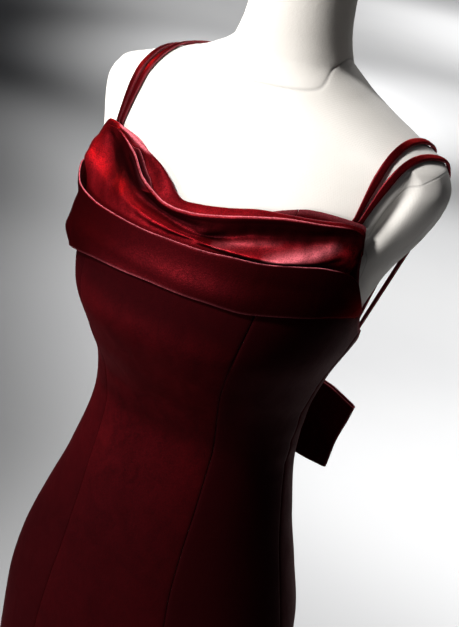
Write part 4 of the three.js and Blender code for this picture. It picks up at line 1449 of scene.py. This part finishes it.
cloth_pieces = {**panels, "cowl": cowl, "band": band, **straps, **bow}
for node, piece in cloth_pieces.items():
    smoothed = node in ("cowl", "band", *straps)
    dress_piece(piece, node, velvet_lustre if smoothed else velvet)
dress_piece(torso, "form_torso", jersey)
dress_piece(base, "stand_base", paint)
dress_piece(pole, "stand_pole", steel)
print("dressed:", len(cloth_pieces), "pieces of velvet, the form, its base and its pole")

# %% [markdown]
# ## Floor and light
#
# The floor is one wide pale disc, so the part can be looked at from all round without a wall
# in the way. Velvet looks deep when light comes from one side and leaves the other dark, so
# the key light is a spot high on the wearer's right, and a second spot further round draws the
# edge of that side. A weak lamp, low in front, and a faint sky keep the shadows open, and a
# spot behind the form lights its back.
#
# From the camera the floor is the backdrop. Seven more spots look straight down on it, between
# one and ten metres behind the form. Their pools of light run into each other, and give it the
# soft gradient, darker towards the wearer's right, of a studio's paper sweep.

# %% The floor and the sky
bpy.ops.object.select_all(action="DESELECT")
bpy.ops.mesh.primitive_circle_add(vertices=96, radius=24, fill_type="NGON", location=(0, 0, 0))
floor = bpy.context.object
floor.name = "studio_floor"


def make_floor_paper():
    made, tree, shader, place = new_material("pale_floor")
    fibre = noise(tree, place, 900, 2.0)
    tone = blend_colours(tree, spread(tree, noise(tree, place, 0.8, 3.0), 0.3, 0.7),
                         (0.48, 0.48, 0.485, 1), (0.51, 0.51, 0.51, 1))
    feed(tree, shader, Base_Color=tone, Roughness=0.9)
    bump(tree, shader, fibre, 0.0002, 0.3)
    return made


floor.data.materials.append(make_floor_paper())

sky = bpy.data.worlds.new("soft_sky")
sky.use_nodes = True
feed(sky.node_tree, sky.node_tree.nodes["Background"], Color=(0.90, 0.92, 1.0, 1), Strength=0.03)
bpy.context.scene.world = sky
print("floor:", round(max(floor.dimensions)), "m wide")

# %% Lamps
FLOOR_SPOTS = (  # name, x, y, height, opening in degrees, watts, how soft the edge is
    ("floor_front", 0.2, 1.2, 3.4, 56, 240, 1.0),
    ("floor_near", -0.2, 3.2, 3.4, 70, 780, 0.6),
    ("floor_left", -2.2, 3.6, 3.4, 32, 270, 1.0),
    ("floor_corner", -2.6, 5.2, 3.4, 42, 390, 0.6),
    ("floor_middle", -1.8, 6.0, 3.4, 42, 390, 0.6),
    ("floor_far", -2.6, 7.6, 4.4, 70, 780, 0.6),
    ("floor_end", -2.2, 10.0, 4.4, 70, 1090, 1.0),
)
BUST_HEIGHT = 1.15


def lamp(name, kind, place, target, watts, **settings):
    """A lamp at a place, turned towards its target."""
    made = bpy.data.objects.new(name, bpy.data.lights.new(name, kind))
    bpy.context.scene.collection.objects.link(made)
    made.data.energy = watts
    for setting, value in settings.items():
        setattr(made.data, setting, value)
    made.location = place
    made.rotation_mode = "QUATERNION"
    made.rotation_quaternion = (Vector(place) - Vector(target)).to_track_quat("Z", "Y")
    made.visible_camera = False


def spot(name, place, target, opening, watts, edge=1.0, radius=0.35):
    """A lamp with a cone, which lights one place and leaves the rest alone."""
    lamp(name, "SPOT", place, target, watts, spot_size=math.radians(opening), spot_blend=edge,
         shadow_soft_size=radius)


def around_form(azimuth, height_angle, distance, height=BUST_HEIGHT):
    return Vector((0, 0, height)) + direction(azimuth, height_angle) * distance


spot("key", around_form(-28, 43, 2.4), (0, 0, 1.10), 46, 300, 0.35, 0.22)
spot("left", around_form(-95, 32, 3.0), (0, 0, 1.08), 42, 260, 0.35, 0.25)
lamp("fill", "AREA", around_form(-34, -7, 3.0, 1.05), (0, 0, 1.05), 80, size=1.2)
for name, x, y, height, opening, watts, edge in FLOOR_SPOTS:
    spot(name, (x, y, height), (x, y, 0), opening, watts, edge)
spot("back", (-0.9, 3.6, 3.0), (0, 0, 0.95), 34, 230, 1.0, 0.8)
bpy.context.scene.view_settings.view_transform = "Standard"

# %% [markdown]
# ## The flat cuts
#
# Cloth comes off a roll flat. So a table gives, for each velvet piece, the size that it is cut to
# before it is sewn: what shows of it, and for a tube all that goes round. For a piece that isn't a
# rectangle it gives the area too.

# %% State the cuts
SHEETS = {  # node: width, length and area of its flat cut without seam allowances, metres
    "panel_centre_front": (0.450, 1.350, 0.258),
    "panel_side_front_left": (0.370, 1.370, 0.220),
    "panel_side_front_right": (0.370, 1.370, 0.220),
    "panel_side_back_left": (0.418, 1.270, 0.219),
    "panel_side_back_right": (0.418, 1.270, 0.219),
    "panel_centre_back_left": (0.240, 1.220, 0.119),
    "panel_centre_back_right": (0.240, 1.220, 0.119),
    "cowl": (0.370, 0.110, 0.0275),
    "band": (0.460, 0.090, 0.0245),
    "strap_left_inner": (0.017, 0.375, None),
    "strap_left_outer": (0.017, 0.345, None),
    "strap_right_inner": (0.017, 0.415, None),
    "strap_right_outer": (0.017, 0.392, None),
    "bow_loop_left": (0.088, 0.235, 0.0176),
    "bow_loop_right": (0.088, 0.235, 0.0176),
    "bow_knot": (0.030, 0.145, None),
}
velvet_area = sum(area or width * length for width, length, area in SHEETS.values())
print("cuts:", len(SHEETS), " velvet in all:", round(velvet_area, 2), "square metres")
